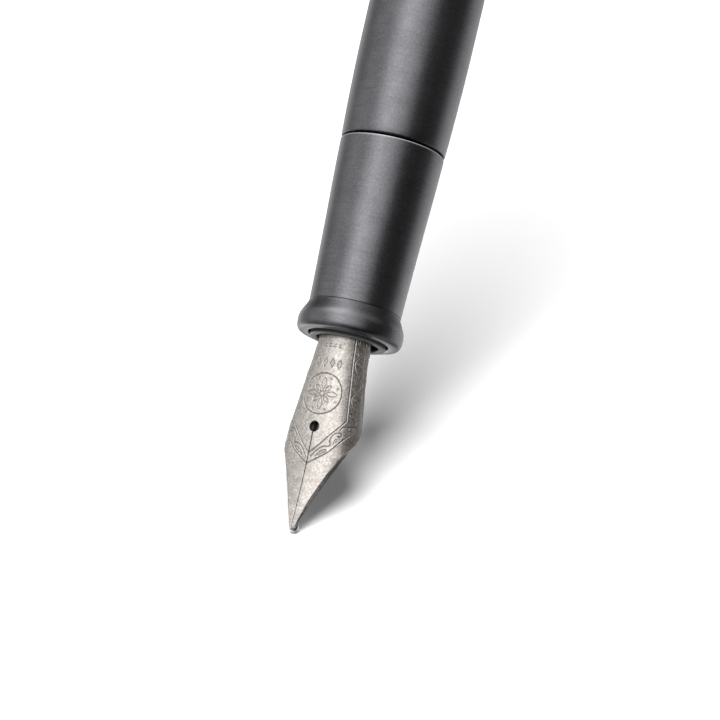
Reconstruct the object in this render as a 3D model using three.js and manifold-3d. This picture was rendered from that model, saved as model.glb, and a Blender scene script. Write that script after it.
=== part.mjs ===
// Fountain pen without its cap: nib unit, grip section, barrel and a piston converter.
// Frame: the pen's axis is +Z, the writing point is at z = 0 and the tail is at the top.
// The nib's crown, with its slit and breather hole, faces -Y. X is across the nib. Millimetres.
// In names, R is a radius and Z a height along the axis, or a pair of [front, rear] heights.
// "Front" is towards the writing point, "rear" towards the tail.
import * as THREE from "three";
import { mergeVertices } from "three/addons/utils/BufferGeometryUtils.js";
import Module from "manifold-3d";

const wasm = await Module();
wasm.setup();

// ---------------------------------------------------------------- shared dimensions
const PEN_LENGTH = 134; // writing point to tail face
const GAP = 0.04; // between pieces of one body
const RUN = 0.05; // radial running clearance between pieces that slide

// Steps round the circle
const STEPS = {
  body: 36, // grip section and barrel
  fitting: 30, // nib housing, thread sleeve and tail plug
  converter: 24,
  breather: 24,
  thread: 18,
  drive: 12, // both drive screws
  pellet: 20,
  feed: 20,
  feedDetail: 16, // fin grooves and rear post
  oRing: 28,
  spindleBore: 20,
  rodHead: 20,
  knob: 40,
};

// ---------------------------------------------------------------- basic solids

// Any closed three.js geometry as a solid with its faces pointing out.
function solid(source) {
  const geometry = source.clone();
  for (const name of Object.keys(geometry.attributes))
    if (name !== "position") geometry.deleteAttribute(name);
  const merged = mergeVertices(geometry, 1e-5);
  const index = merged.index.array;
  const faces = [];
  for (let i = 0; i < index.length; i += 3) {
    const [a, b, c] = index.slice(i, i + 3);
    if (a !== b && b !== c && a !== c) faces.push(a, b, c);
  }
  const build = () =>
    new wasm.Manifold(
      new wasm.Mesh({
        numProp: 3,
        vertProperties: new Float32Array(merged.attributes.position.array),
        triVerts: new Uint32Array(faces),
      }),
    );
  const made = build();
  if (made.volume() >= 0) return made;
  for (let i = 0; i < faces.length; i += 3)
    [faces[i + 1], faces[i + 2]] = [faces[i + 2], faces[i + 1]];
  return build();
}

// A solid from flat lists of coordinates and triangle corners.
function facetedSolid(points, faces) {
  const geometry = new THREE.BufferGeometry();
  geometry.setAttribute("position", new THREE.Float32BufferAttribute(points, 3));
  geometry.setIndex(faces);
  return solid(geometry);
}

// A body of revolution about Z from [radius, z] pairs.
// The profile closes on itself or starts and ends on the axis.
function turned(profile, steps) {
  const first = profile[0];
  const last = profile[profile.length - 1];
  const points = profile.map(([radius, z]) => new THREE.Vector2(radius, z));
  if (first[0] > 1e-6 || last[0] > 1e-6) points.push(new THREE.Vector2(...first));
  return solid(new THREE.LatheGeometry(points, steps).rotateX(Math.PI / 2));
}

// A round bar or ring between two heights.
const bar = (radius, [z0, z1], steps) =>
  turned([[0, z0], [radius, z0], [radius, z1], [0, z1]], steps);
const ring = (inner, outer, [z0, z1], steps) =>
  turned([[inner, z0], [outer, z0], [outer, z1], [inner, z1]], steps);

function block([x0, x1], [y0, y1], [z0, z1]) {
  const box = new THREE.BoxGeometry(x1 - x0, y1 - y0, z1 - z0);
  return solid(box.translate((x0 + x1) / 2, (y0 + y1) / 2, (z0 + z1) / 2));
}

// The side faces through rings of equal length, and the points they stand on.
function skin(rings) {
  const count = rings[0].length;
  const faces = [];
  for (let k = 0; k + 1 < rings.length; k++)
    for (let i = 0; i < count; i++) {
      const j = (i + 1) % count;
      const base = k * count;
      const next = base + count;
      faces.push(base + i, base + j, next + j, base + i, next + j, next + i);
    }
  return { points: rings.flat(2), faces, count, lastRing: (rings.length - 1) * count };
}

// A skin whose ends are closed by fans about the given centres.
function fanEnded(rings, lowCentre, highCentre) {
  const { points, faces, count, lastRing } = skin(rings);
  const low = points.length / 3;
  const high = low + 1;
  points.push(...lowCentre, ...highCentre);
  for (let i = 0; i < count; i++) {
    const j = (i + 1) % count;
    faces.push(low, j, i);
    faces.push(high, lastRing + i, lastRing + j);
  }
  return facetedSolid(points, faces);
}

// A skin whose rings run out along one arc and back along another.
// Each end is closed between its two arcs.
function sheetEnded(rings) {
  const { points, faces, count, lastRing } = skin(rings);
  for (let i = 0; i + 1 < count / 2; i++) {
    const back = count - 1 - i;
    faces.push(i, back - 1, i + 1, i, back, back - 1);
    const [a, b, c, d] = [i, i + 1, back - 1, back].map((corner) => lastRing + corner);
    faces.push(a, b, c, a, c, d);
  }
  return facetedSolid(points, faces);
}

// ---------------------------------------------------------------- screws

// A solid right-hand screw. rows gives [share of the pitch, radius] along one pitch.
// It runs past both ends of the span by at least a pitch, to be trimmed.
function screw(rows, pitch, [z0, z1], steps) {
  const per = rows.length;
  const turns = Math.ceil((z1 - z0) / pitch) + 3;
  const start = z0 - 2 * pitch;
  const total = turns * per;
  const lastCol = steps - 1;
  const at = (row, col) => row * steps + col;
  const points = [];
  for (let row = 0; row <= total; row++)
    for (let col = 0; col < steps; col++) {
      const [share, radius] = rows[row % per];
      const angle = (2 * Math.PI * col) / steps;
      const z = start + (Math.floor(row / per) + share + col / steps) * pitch;
      points.push(radius * Math.cos(angle), radius * Math.sin(angle), z);
    }
  const low = points.length / 3;
  const high = low + 1;
  points.push(0, 0, start - pitch * 0.2);
  points.push(0, 0, start + (turns + 1.2) * pitch);

  const faces = [];
  const quad = (a, b, c, d) => faces.push(a, b, c, a, c, d);
  for (let row = 0; row < total; row++)
    for (let col = 0; col < lastCol; col++)
      quad(at(row, col), at(row, col + 1), at(row + 1, col + 1), at(row + 1, col));
  // the last column meets the first one a pitch higher
  for (let row = 0; row + per < total; row++)
    quad(at(row, lastCol), at(row + per, 0), at(row + per + 1, 0), at(row + 1, lastCol));
  // lower end: along the first row, then down the first column
  for (let col = 0; col < lastCol; col++) faces.push(low, at(0, col + 1), at(0, col));
  faces.push(low, at(per, 0), at(0, lastCol));
  for (let row = 0; row < per; row++) faces.push(low, at(row, 0), at(row + 1, 0));
  // upper end: along the last row, then up the last column
  for (let col = 0; col < lastCol; col++)
    faces.push(high, at(total, col), at(total, col + 1));
  faces.push(high, at(total - per, lastCol), at(total, 0));
  for (let row = total - per; row < total; row++)
    faces.push(high, at(row + 1, lastCol), at(row, lastCol));
  return facetedSolid(points, faces);
}

// A V thread trimmed square to its span.
const vThread = (core, crest, pitch, span) =>
  screw([[0, core], [0.5, crest]], pitch, span, STEPS.thread).intersect(
    bar(crest + 1, span, STEPS.thread),
  );

// A male thread as a sleeve, to be joined to a plain wall a little thinner than its core
const maleThread = ({ core, crest, pitch, span, bore }) =>
  vThread(core, crest, pitch, span).subtract(
    bar(bore, [span[0] - 1, span[1] + 1], STEPS.thread),
  );

// The rows of a trapezoid thread, with its crest centred on half the pitch
const trapezoid = ({ core, crest, crestShare, flankShare }) => [
  [0.5 - crestShare / 2 - flankShare, core],
  [0.5 - crestShare / 2, crest],
  [0.5 + crestShare / 2, crest],
  [0.5 + crestShare / 2 + flankShare, core],
];

// ---------------------------------------------------------------- materials
const metal = ({ color, roughness }) =>
  new THREE.MeshStandardMaterial({ color, roughness, metalness: 1 });
const nonMetal = ({ color, roughness, ...rest }) =>
  new THREE.MeshStandardMaterial({ color, roughness, metalness: 0, ...rest });

const titanium = metal({ color: 0xb9b2a9, roughness: 0.42 });
const tippingAlloy = metal({ color: 0xd4d2cd, roughness: 0.25 });
const anodised = metal({ color: 0x4a4a4d, roughness: 0.45 });
const brass = metal({ color: 0xb59a5a, roughness: 0.35 });
const chrome = metal({ color: 0xc9cace, roughness: 0.15 });
const blackPlastic = nonMetal({ color: 0x141415, roughness: 0.45 });
const greyPlastic = nonMetal({ color: 0x8d9196, roughness: 0.5 });
const rubber = nonMetal({ color: 0x1b1b1b, roughness: 0.8 });
const clear = nonMetal({
  color: 0xdfe6ea,
  roughness: 0.08,
  transparent: true,
  opacity: 0.35,
});

// ---------------------------------------------------------------- nib: a bent sheet
const NIB_SHEET = 0.35;
const NIB_TAIL_R = 3.26;
// z, radius of the outer surface, half angle of the arc in degrees, crown above the axis
const NIB_ROWS = [
  [1.15, 5.1, 5.95, 3.11],
  [1.6, 4.9, 7.8, 3.12],
  [2.2, 4.2, 11.75, 3.13],
  [3.0, 3.6, 17.75, 3.14],
  [4.0, 3.5, 24.0, 3.15],
  [5.0, 3.9, 27.75, 3.17],
  [6.0, 4.6, 28.95, 3.19],
  [7.0, 5.2, 30.4, 3.2],
  [8.0, 6.1, 31.0, 3.2],
  [9.0, 6.4, 34.0, 3.21],
  [10.0, 5.85, 43.7, 3.22],
  [10.6, 5.46, 52.5, 3.22],
  [11.2, 5.27, 58.5, 3.23],
  [11.8, 5.15, 62.9, 3.24],
  [12.4, 5.07, 65.8, 3.25],
  [13.2, 4.9, 67.6, 3.26],
  [14.2, 4.7, 68.8, 3.26],
  [16.0, 4.37, 70.6, 3.26],
  [18.0, 4.01, 72.6, 3.26],
  [20.0, 3.63, 77.8, 3.26],
  [21.5, 3.42, 81.2, 3.26],
  [23.0, NIB_TAIL_R, 83.5, NIB_TAIL_R],
  [35.5, NIB_TAIL_R, 83.5, NIB_TAIL_R],
];
const NIB_ARC_STEPS = 12; // even, so that one column of vertices runs along the crown
const SLIT_WIDTH = 0.12;
const SLIT_TOP_Z = 12.12; // also the centre of the breather hole
const BREATHER_R = 0.6;

// A point on the sheet, at depth below the outer surface; share runs from -1 to 1.
// The two arcs are concentric, so the sheet keeps its thickness.
function onSheet([z, outer, halfAngle, crown], share, depth) {
  const angle = THREE.MathUtils.degToRad(halfAngle) * share;
  const radius = outer - depth;
  return [radius * Math.sin(angle), -(crown - outer + radius * Math.cos(angle)), z];
}

function makeNib() {
  const shares = [];
  for (let i = 0; i <= NIB_ARC_STEPS; i++) shares.push((2 * i) / NIB_ARC_STEPS - 1);
  const rings = NIB_ROWS.map((row) => [
    ...shares.map((share) => onSheet(row, share, 0)),
    ...shares.map((share) => onSheet(row, share, NIB_SHEET)).reverse(),
  ]);
  const slit = block([-SLIT_WIDTH / 2, SLIT_WIDTH / 2], [-5, -1.5], [0, SLIT_TOP_Z]);
  const breather = solid(
    new THREE.CylinderGeometry(BREATHER_R, BREATHER_R, 2, STEPS.breather).translate(
      0,
      -3,
      SLIT_TOP_Z,
    ),
  );
  return sheetEnded(rings).subtract(slit).subtract(breather);
}

// ---------------------------------------------------------------- tipping pellet
const TIP_LENGTH = 1.1;
const TIP_R = 0.5;
const TIP_CROWN = 3.0; // top of the pellet above the axis, just under the top of the tines
const TIP_FLAT_R = 0.13; // worn writing flat
const TIP_REAR_R = 0.2; // flat rear face
const TIP_FULLNESS = 0.8; // exponent: below 1 the ovoid is blunter than an ellipse
const TIP_PROFILE_STEPS = 10;

// An ovoid pellet cut to the x range of one tine
function makeTipping(xRange) {
  const profile = [[0, 0], [TIP_FLAT_R, 0]];
  for (let i = 1; i < TIP_PROFILE_STEPS; i++) {
    const angle = (Math.PI * i) / TIP_PROFILE_STEPS;
    profile.push([
      TIP_R * Math.pow(Math.sin(angle), TIP_FULLNESS),
      (TIP_LENGTH * (1 - Math.cos(angle))) / 2,
    ]);
  }
  profile.push([TIP_REAR_R, TIP_LENGTH], [0, TIP_LENGTH]);
  return turned(profile, STEPS.pellet)
    .translate([0, TIP_R - TIP_CROWN, 0])
    .intersect(block(xRange, [-5, 0], [-1, 3]));
}

// ---------------------------------------------------------------- feed
const FEED_R = 2.84;
// z, half width, top height above the axis, bottom depth below it
const FEED_ROWS = [
  [4.6, 0.5, 2.66, -1.75],
  [4.9, 0.78, 2.74, -1.5],
  [6.0, 1.05, 2.78, -1.0],
  [7.5, 1.4, 2.8, -0.25],
  [9.0, 1.8, 2.81, 0.55],
  [10.5, 2.25, 2.82, 1.4],
  [12.0, 2.6, 2.83, 2.15],
  [13.5, 2.8, FEED_R, 2.65],
  [15.0, FEED_R, FEED_R, FEED_R],
  [36.0, FEED_R, FEED_R, FEED_R],
];
const FIN_FIRST_Z = 13.4;
const FIN_PITCH = 0.85;
const FIN_GROOVE = 0.4; // groove width along the axis
const FIN_COUNT = 8;
const FIN_CORE_R = 2.0;
const FIN_TOP_Y = -0.9; // the grooves stop here, short of the crown side
const FEED_POST_R = 0.62;
const FEED_POST_Z = [35.5, 40.6];
const CHANNEL_WIDTH = 0.3;
const CHANNEL_FLOOR_Y = -2.1;

function makeFeed() {
  const centreOf = ([z, , top, bottom]) => [0, -(top - bottom) / 2, z];
  const rings = FEED_ROWS.map((row) => {
    const [z, halfWidth, top, bottom] = row;
    const halfHeight = (top + bottom) / 2;
    const loop = [];
    for (let i = 0; i < STEPS.feed; i++) {
      const angle = (2 * Math.PI * i) / STEPS.feed;
      const y = centreOf(row)[1] - halfHeight * Math.sin(angle);
      loop.push([halfWidth * Math.cos(angle), y, z]);
    }
    return loop;
  });
  let feed = fanEnded(rings, centreOf(FEED_ROWS[0]), centreOf(FEED_ROWS.at(-1)));
  for (let i = 0; i < FIN_COUNT; i++) {
    const z = FIN_FIRST_Z + i * FIN_PITCH;
    const groove = ring(FIN_CORE_R, 4, [z, z + FIN_GROOVE], STEPS.feedDetail);
    feed = feed.subtract(groove.intersect(block([-5, 5], [FIN_TOP_Y, 5], [z - 1, z + 1])));
  }
  // ink channel under the slit
  const halfChannel = CHANNEL_WIDTH / 2;
  return feed
    .subtract(block([-halfChannel, halfChannel], [-4, CHANNEL_FLOOR_Y], [3, 37]))
    .add(bar(FEED_POST_R, FEED_POST_Z, STEPS.feedDetail));
}

// ---------------------------------------------------------------- nib housing
const FLANGE_R = 4.5;
const FLANGE_Z = [22.7, 24.2];
const MOUTH_R = 3.64; // countersunk mouth round the nib
const MOUTH_Z = 24.6; // rear end of the mouth
const HOUSING_BORE_R = NIB_TAIL_R + RUN;
const HOUSING_CORE_R = 3.6;
const HOUSING_CREST_R = 3.86;
const HOUSING_WALL_R = 3.52; // plain wall under the thread
const HOUSING_THREAD_Z = [25.2, 30.0];
const HOUSING_PITCH = 1.2;
const HOUSING_NECK_R = 3.75;
const HOUSING_END_Z = 37.4;
const HOUSING_BORE_END_Z = HOUSING_END_Z - 1.2;
const NIPPLE_R = 1.3;
const NIPPLE_BORE_R = 0.78;
const NIPPLE_END_Z = 41.5;

function makeHousing() {
  const [front, rear] = FLANGE_Z;
  const threadEnd = HOUSING_THREAD_Z[1];
  const body = turned(
    [
      // flange with a rounded front edge
      [MOUTH_R, front + 0.05], [MOUTH_R + 0.12, front], [FLANGE_R - 0.3, front],
      [FLANGE_R - 0.08, front + 0.1], [FLANGE_R, front + 0.32], [FLANGE_R, rear],
      // threaded wall and neck
      [HOUSING_WALL_R, rear], [HOUSING_WALL_R, threadEnd + 0.3],
      [HOUSING_NECK_R, threadEnd + 0.5], [HOUSING_NECK_R, HOUSING_END_Z - 0.4],
      [HOUSING_NECK_R - 0.4, HOUSING_END_Z],
      // nipple
      [NIPPLE_R, HOUSING_END_Z], [NIPPLE_R, NIPPLE_END_Z - 0.3],
      [NIPPLE_R - 0.2, NIPPLE_END_Z], [NIPPLE_BORE_R, NIPPLE_END_Z],
      // back down the inside
      [NIPPLE_BORE_R, HOUSING_BORE_END_Z], [HOUSING_BORE_R, HOUSING_BORE_END_Z],
      [HOUSING_BORE_R, MOUTH_Z + 0.3], [MOUTH_R, MOUTH_Z],
    ],
    STEPS.fitting,
  );
  const thread = maleThread({
    core: HOUSING_CORE_R,
    crest: HOUSING_CREST_R,
    pitch: HOUSING_PITCH,
    span: HOUSING_THREAD_Z,
    bore: (HOUSING_BORE_R + HOUSING_WALL_R) / 2 + 0.01, // inside the wall it joins
  });
  return body.add(thread);
}

// ---------------------------------------------------------------- grip section
const LIP_FACE_Z = 23.1;
const MOUTH_CHAMFER = 0.14; // inside edge of the lip's front face
const SHOULDER_R = 6.07;
const SHOULDER_Z = 46.0;
// Outer profile as radius, z from the lip's front face to the barrel shoulder
const SECTION_OUT = [
  [5.4, LIP_FACE_Z], [5.65, 23.15], [5.88, 23.3], [6.03, 23.56],
  [6.1, 23.88], [6.12, 24.4], [6.08, 24.86], [5.9, 25.4],
  [5.64, 25.92], [5.35, 26.58], [5.33, 26.8], [5.42, 29.6],
  [5.57, 33.7], [5.75, 38.0], [5.93, 42.0], [SHOULDER_R, SHOULDER_Z],
];
const SECTION_MOUTH_R = 4.62;
const SECTION_BORE_R = 3.95;
const SECTION_STOCK = 0.4; // extra wall that the female thread is cut from
const TENON_END_Z = 54.0;
const TENON_CORE_R = 4.45;
const TENON_CREST_R = 4.75;
const TENON_WALL_R = 4.36; // plain wall under the thread
const TENON_THREAD_Z = [48.0, 53.6];
const TENON_CHAMFER = 0.15;
const BARREL_PITCH = 1.2;
const ORING_R = 4.78; // ring centre line
const ORING_WIRE_R = 0.3;
const ORING_WIRE_STEPS = 6;
const ORING_Z = 46.75;

function makeSection() {
  const [threadFront, threadRear] = HOUSING_THREAD_Z;
  const mouthEnd = FLANGE_Z[1] + RUN;
  const body = turned(
    [
      [SECTION_MOUTH_R, LIP_FACE_Z + MOUTH_CHAMFER],
      [SECTION_MOUTH_R + MOUTH_CHAMFER, LIP_FACE_Z],
      ...SECTION_OUT,
      // tenon
      [5.2, SHOULDER_Z], [TENON_CORE_R, SHOULDER_Z],
      [TENON_CORE_R, TENON_THREAD_Z[0]], [TENON_WALL_R, TENON_THREAD_Z[0]],
      [TENON_WALL_R, TENON_END_Z - TENON_CHAMFER],
      [TENON_WALL_R - TENON_CHAMFER, TENON_END_Z],
      // back down the bore, past the stock for the thread
      [SECTION_BORE_R, TENON_END_Z], [SECTION_BORE_R, threadRear],
      [SECTION_BORE_R - SECTION_STOCK, threadRear],
      [SECTION_BORE_R - SECTION_STOCK, threadFront],
      [SECTION_BORE_R, threadFront], [SECTION_BORE_R, mouthEnd],
      [SECTION_MOUTH_R, mouthEnd],
    ],
    STEPS.body,
  );
  const housingThread = vThread(
    SECTION_BORE_R + 0.02,
    SECTION_BORE_R + 0.3,
    HOUSING_PITCH,
    HOUSING_THREAD_Z,
  );
  const tenonThread = maleThread({
    core: TENON_CORE_R,
    crest: TENON_CREST_R,
    pitch: BARREL_PITCH,
    span: TENON_THREAD_Z,
    bore: (SECTION_BORE_R + TENON_WALL_R) / 2,
  });
  return body.subtract(housingThread).add(tenonThread);
}

function makeORing() {
  const wire = [];
  for (let i = 0; i < ORING_WIRE_STEPS; i++) {
    const angle = (2 * Math.PI * (i + 0.5)) / ORING_WIRE_STEPS;
    wire.push([
      ORING_R + ORING_WIRE_R * Math.cos(angle),
      ORING_Z + ORING_WIRE_R * Math.sin(angle),
    ]);
  }
  return turned(wire, STEPS.oRing);
}

// ---------------------------------------------------------------- barrel
const BARREL_MOUTH_Z = 46.3;
const BARREL_END_Z = 127.5;
// Outer profile as radius, z
const BARREL_OUT = [
  [SHOULDER_R, BARREL_MOUTH_Z], [6.25, 50.0], [6.45, 58.0], [6.5, 66.0],
  [6.48, 80.0], [6.32, 98.0], [6.02, 114.0], [5.66, BARREL_END_Z],
];
const BARREL_BORE_R = 4.25;
const BARREL_BORE_Z = 121.0;
const SLEEVE_SEAT_R = 5.5;
const SLEEVE_Z = [47.9, 55.4];
const SLEEVE_SEAT_Z = SLEEVE_Z[1] + 0.1; // rear end of the seat
const SLEEVE_R = SLEEVE_SEAT_R - GAP;
const PLUG_STEM_R = 3.3;
const PLUG_STEM_Z = 122.5;
const PLUG_CHAMFER = 0.3;
// Outer profile of the tail plug's head as radius, z
const PLUG_OUT = [
  [5.64, BARREL_END_Z + GAP], [5.56, 129.5], [5.36, 131.4],
  [5.0, 132.8], [4.6, 133.6], [4.1, PEN_LENGTH],
];

function makeBarrel() {
  return turned(
    [
      ...BARREL_OUT,
      [PLUG_STEM_R + GAP, BARREL_END_Z], [PLUG_STEM_R + GAP, BARREL_BORE_Z + 0.6],
      [BARREL_BORE_R - 0.5, BARREL_BORE_Z], [BARREL_BORE_R, BARREL_BORE_Z - 0.8],
      [BARREL_BORE_R, SLEEVE_SEAT_Z], [SLEEVE_SEAT_R, SLEEVE_SEAT_Z],
      [SLEEVE_SEAT_R, BARREL_MOUTH_Z],
    ],
    STEPS.body,
  );
}

// The ring starts narrower than the thread, which is cut right through it.
function makeSleeve() {
  const thread = vThread(TENON_CREST_R + 0.13, TENON_CREST_R + 0.4, BARREL_PITCH, [
    SLEEVE_Z[0] - 0.1,
    SLEEVE_Z[1] + 0.1,
  ]);
  return ring(TENON_CREST_R - 0.2, SLEEVE_R, SLEEVE_Z, STEPS.fitting).subtract(thread);
}

function makeTailPlug() {
  return turned(
    [
      [0, PLUG_STEM_Z], [PLUG_STEM_R - PLUG_CHAMFER, PLUG_STEM_Z],
      [PLUG_STEM_R, PLUG_STEM_Z + PLUG_CHAMFER], [PLUG_STEM_R, BARREL_END_Z + GAP],
      ...PLUG_OUT,
      [0, PEN_LENGTH],
    ],
    STEPS.fitting,
  );
}

// ---------------------------------------------------------------- converter body
const TUBE_R = 3.4;
const TUBE_BORE_R = 2.8;
const TUBE_Z = [38.0, 78.0];
const TUBE_CHAMBER_Z = 42.2; // front end of the full bore
const FERRULE_R = 3.75;
const FERRULE_BORE_R = TUBE_R + RUN;
const FERRULE_Z = [72.0, 96.0];
const FERRULE_LIP_R = 2.75;
const FERRULE_LIP_Z = FERRULE_Z[1] - 0.8;
const FERRULE_GROOVE_Z = [74.2, 74.9];
const FERRULE_GROOVE_R = FERRULE_R - 0.12;
const FERRULE_BEVEL = 0.15; // length of the groove's flanks and the front bevel
const BUSH_R = TUBE_R;
const BUSH_Z = [78.1, 80.9];
const RING_Z = [82.6, 83.8];

function makeTube() {
  const socket = NIPPLE_R + RUN;
  const [front, rear] = TUBE_Z;
  return turned(
    [
      [socket, front], [TUBE_R - 0.5, front], [TUBE_R, front + 0.8], [TUBE_R, rear],
      [TUBE_BORE_R, rear], [TUBE_BORE_R, TUBE_CHAMBER_Z], [socket, TUBE_CHAMBER_Z - 0.5],
    ],
    STEPS.converter,
  );
}

function makeFerrule() {
  const [front, rear] = FERRULE_Z;
  const [grooveFront, grooveRear] = FERRULE_GROOVE_Z;
  return turned(
    [
      [FERRULE_BORE_R, front], [FERRULE_R - 0.1, front],
      [FERRULE_R, front + FERRULE_BEVEL], [FERRULE_R, grooveFront],
      [FERRULE_GROOVE_R, grooveFront + FERRULE_BEVEL],
      [FERRULE_GROOVE_R, grooveRear - FERRULE_BEVEL],
      [FERRULE_R, grooveRear], [FERRULE_R, rear - 0.2], [FERRULE_R - 0.2, rear],
      [FERRULE_LIP_R, rear], [FERRULE_LIP_R, FERRULE_LIP_Z],
      [FERRULE_BORE_R, FERRULE_LIP_Z],
    ],
    STEPS.converter,
  );
}

// ---------------------------------------------------------------- piston drive
// Right-hand trapezoid screw. The rod's two flats run in the guide bush.
const DRIVE_LEAD = 3.0; // rod travel per turn of the knob
const DRIVE_CREST_R = 1.8;
const DRIVE_FLAT = 1.42; // half thickness across the rod's two flats
const NUT_ROWS = trapezoid({ core: 1.45, crest: 1.95, crestShare: 0.36, flankShare: 0.12 });
const ROD_ROWS = trapezoid({
  core: 1.35,
  crest: DRIVE_CREST_R,
  crestShare: 0.26,
  flankShare: 0.12,
});
const SCREW_Z0 = 40; // both screws are in phase with this height, so crests sit in grooves

const SPINDLE_FLANGE_Z = [81.1, 82.4];
const SPINDLE_FLANGE_R = 3.35;
const SPINDLE_R = 2.6;
const SPINDLE_BORE_R = 2.15;
const SPINDLE_NUT_END_Z = 86.0;
const SPINDLE_END_Z = 110.0;

const SEAL_Z = [43.0, 47.6];
const SEAL_R = TUBE_BORE_R - RUN;
const SEAL_WAIST_R = 2.45;
const ROD_HEAD_R = 1.5;
const ROD_HEAD_Z = [44.8, 46.2];
const ROD_NECK_R = 0.95;
const ROD_COLLAR_R = 2.2;
const ROD_SCREW_Z = [49.2, 85.8];

const keySlab = (half) => block([-half, half], [-6, 6], [30, 130]);

function makeBush() {
  const hole = bar(DRIVE_CREST_R + 0.1, [70, 90], STEPS.converter);
  return bar(BUSH_R, BUSH_Z, STEPS.converter).subtract(
    hole.intersect(keySlab(DRIVE_FLAT + 0.06)),
  );
}

// Drive spindle: nut thread at its front end, hollow behind it
function makeSpindle() {
  const [front, flangeRear] = SPINDLE_FLANGE_Z;
  const body = turned(
    [
      [0, front], [SPINDLE_FLANGE_R, front], [SPINDLE_FLANGE_R, flangeRear],
      [SPINDLE_R, flangeRear], [SPINDLE_R, SPINDLE_END_Z], [0, SPINDLE_END_Z],
    ],
    STEPS.converter,
  );
  const wholeLeads = Math.floor((front - SCREW_Z0) / DRIVE_LEAD);
  const nutZ = [SCREW_Z0 + DRIVE_LEAD * wholeLeads, SPINDLE_NUT_END_Z];
  const nut = screw(NUT_ROWS, DRIVE_LEAD, nutZ, STEPS.drive).intersect(
    bar(3, [front - 0.5, SPINDLE_NUT_END_Z], STEPS.drive),
  );
  const boreZ = [SPINDLE_NUT_END_Z - 0.1, SPINDLE_END_Z + 1];
  return body.subtract(nut).subtract(bar(SPINDLE_BORE_R, boreZ, STEPS.spindleBore));
}

// Piston rod: screw with two flats, and a plain head inside the seal
function makeRod() {
  const thread = screw(ROD_ROWS, DRIVE_LEAD, [SCREW_Z0, ROD_SCREW_Z[1]], STEPS.drive)
    .intersect(bar(3, ROD_SCREW_Z, STEPS.drive))
    .intersect(keySlab(DRIVE_FLAT));
  const [front, rear] = ROD_HEAD_Z;
  const collarFront = SEAL_Z[1] + 0.1;
  const end = ROD_SCREW_Z[0] + 0.1; // overlaps the screw
  const head = turned(
    [
      [0, front], [ROD_HEAD_R - 0.3, front], [ROD_HEAD_R, front + 0.3],
      [ROD_HEAD_R, rear], [ROD_NECK_R, rear + 0.2], [ROD_NECK_R, collarFront],
      [ROD_COLLAR_R, collarFront], [ROD_COLLAR_R, collarFront + 0.6],
      [1.3, end], [0, end],
    ],
    STEPS.rodHead,
  );
  return thread.add(head);
}

// Piston seal: a cup that holds the rod's head, with two sealing lips
function makeSeal() {
  const [front, rear] = SEAL_Z;
  const [headFront, headRear] = ROD_HEAD_Z;
  const neckHole = ROD_NECK_R + RUN;
  return turned(
    [
      [0, front + 0.1], [1.6, front], [2.55, front + 0.15],
      [SEAL_R, front + 0.5], [SEAL_R, front + 1.0], [SEAL_WAIST_R, front + 1.4],
      [SEAL_WAIST_R, rear - 1.4], [SEAL_R, rear - 1.0], [SEAL_R, rear - 0.5],
      [2.55, rear], [neckHole, rear],
      // pocket round the rod's head
      [neckHole, headRear + 0.24], [ROD_HEAD_R + GAP, headRear + GAP],
      [ROD_HEAD_R + GAP, headFront + 0.26], [ROD_HEAD_R - 0.28, headFront - 0.05],
      [0, headFront - 0.05],
    ],
    STEPS.converter,
  );
}

// ---------------------------------------------------------------- twist knob
const KNOB_R = 3.7;
const KNOB_Z = [96.4, 111.2];
const KNOB_FLUTES = 16;
const FLUTE_DEPTH = 0.2;
const FLUTE_Z = [97.6, 108.2];
const KNOB_CORE_R = KNOB_R - 0.25; // plain core under the flutes

// Fluted skirt: each flute takes two points on the crest and two on the floor
function makeKnobSkirt() {
  const count = KNOB_FLUTES * 4;
  const points = [];
  for (let i = 0; i < count; i++) {
    const angle = (2 * Math.PI * i) / count;
    const radius = i % 4 < 2 ? KNOB_R : KNOB_R - FLUTE_DEPTH;
    points.push(new THREE.Vector2(radius * Math.cos(angle), radius * Math.sin(angle)));
  }
  const outline = new THREE.Shape(points);
  outline.closePath();
  const depth = FLUTE_Z[1] - FLUTE_Z[0];
  const skirt = new THREE.ExtrudeGeometry(outline, { depth, bevelEnabled: false, steps: 1 });
  return solid(skirt.translate(0, 0, FLUTE_Z[0]));
}

function makeKnob() {
  const [front, rear] = KNOB_Z;
  const [fluteFront, fluteRear] = FLUTE_Z;
  const body = turned(
    [
      [0, front], [KNOB_R - 0.2, front], [KNOB_R, front + 0.2],
      [KNOB_R, fluteFront - 0.2], [KNOB_CORE_R, fluteFront],
      [KNOB_CORE_R, fluteRear], [KNOB_R, fluteRear + 0.2],
      // bevelled rear end
      [KNOB_R, 110.0], [KNOB_R - 0.35, 110.8], [KNOB_R - 1.0, rear], [0, rear],
    ],
    STEPS.knob,
  );
  const socketZ = [front - 1, SPINDLE_END_Z + 0.2];
  return body
    .add(makeKnobSkirt())
    .subtract(bar(SPINDLE_R + GAP, socketZ, STEPS.converter));
}

// ---------------------------------------------------------------- assembly
const group = new THREE.Group();

function add(name, shape, material) {
  const { numProp, numVert, vertProperties, triVerts } = shape.getMesh();
  const points = new Float32Array(numVert * 3);
  for (let i = 0; i < numVert; i++)
    points.set(vertProperties.subarray(i * numProp, i * numProp + 3), i * 3);
  const geometry = new THREE.BufferGeometry();
  geometry.setAttribute("position", new THREE.BufferAttribute(points, 3));
  geometry.setIndex(new THREE.BufferAttribute(new Uint32Array(triVerts), 1));
  geometry.computeVertexNormals();
  const mesh = new THREE.Mesh(geometry, material);
  mesh.name = name;
  group.add(mesh);
}

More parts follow.
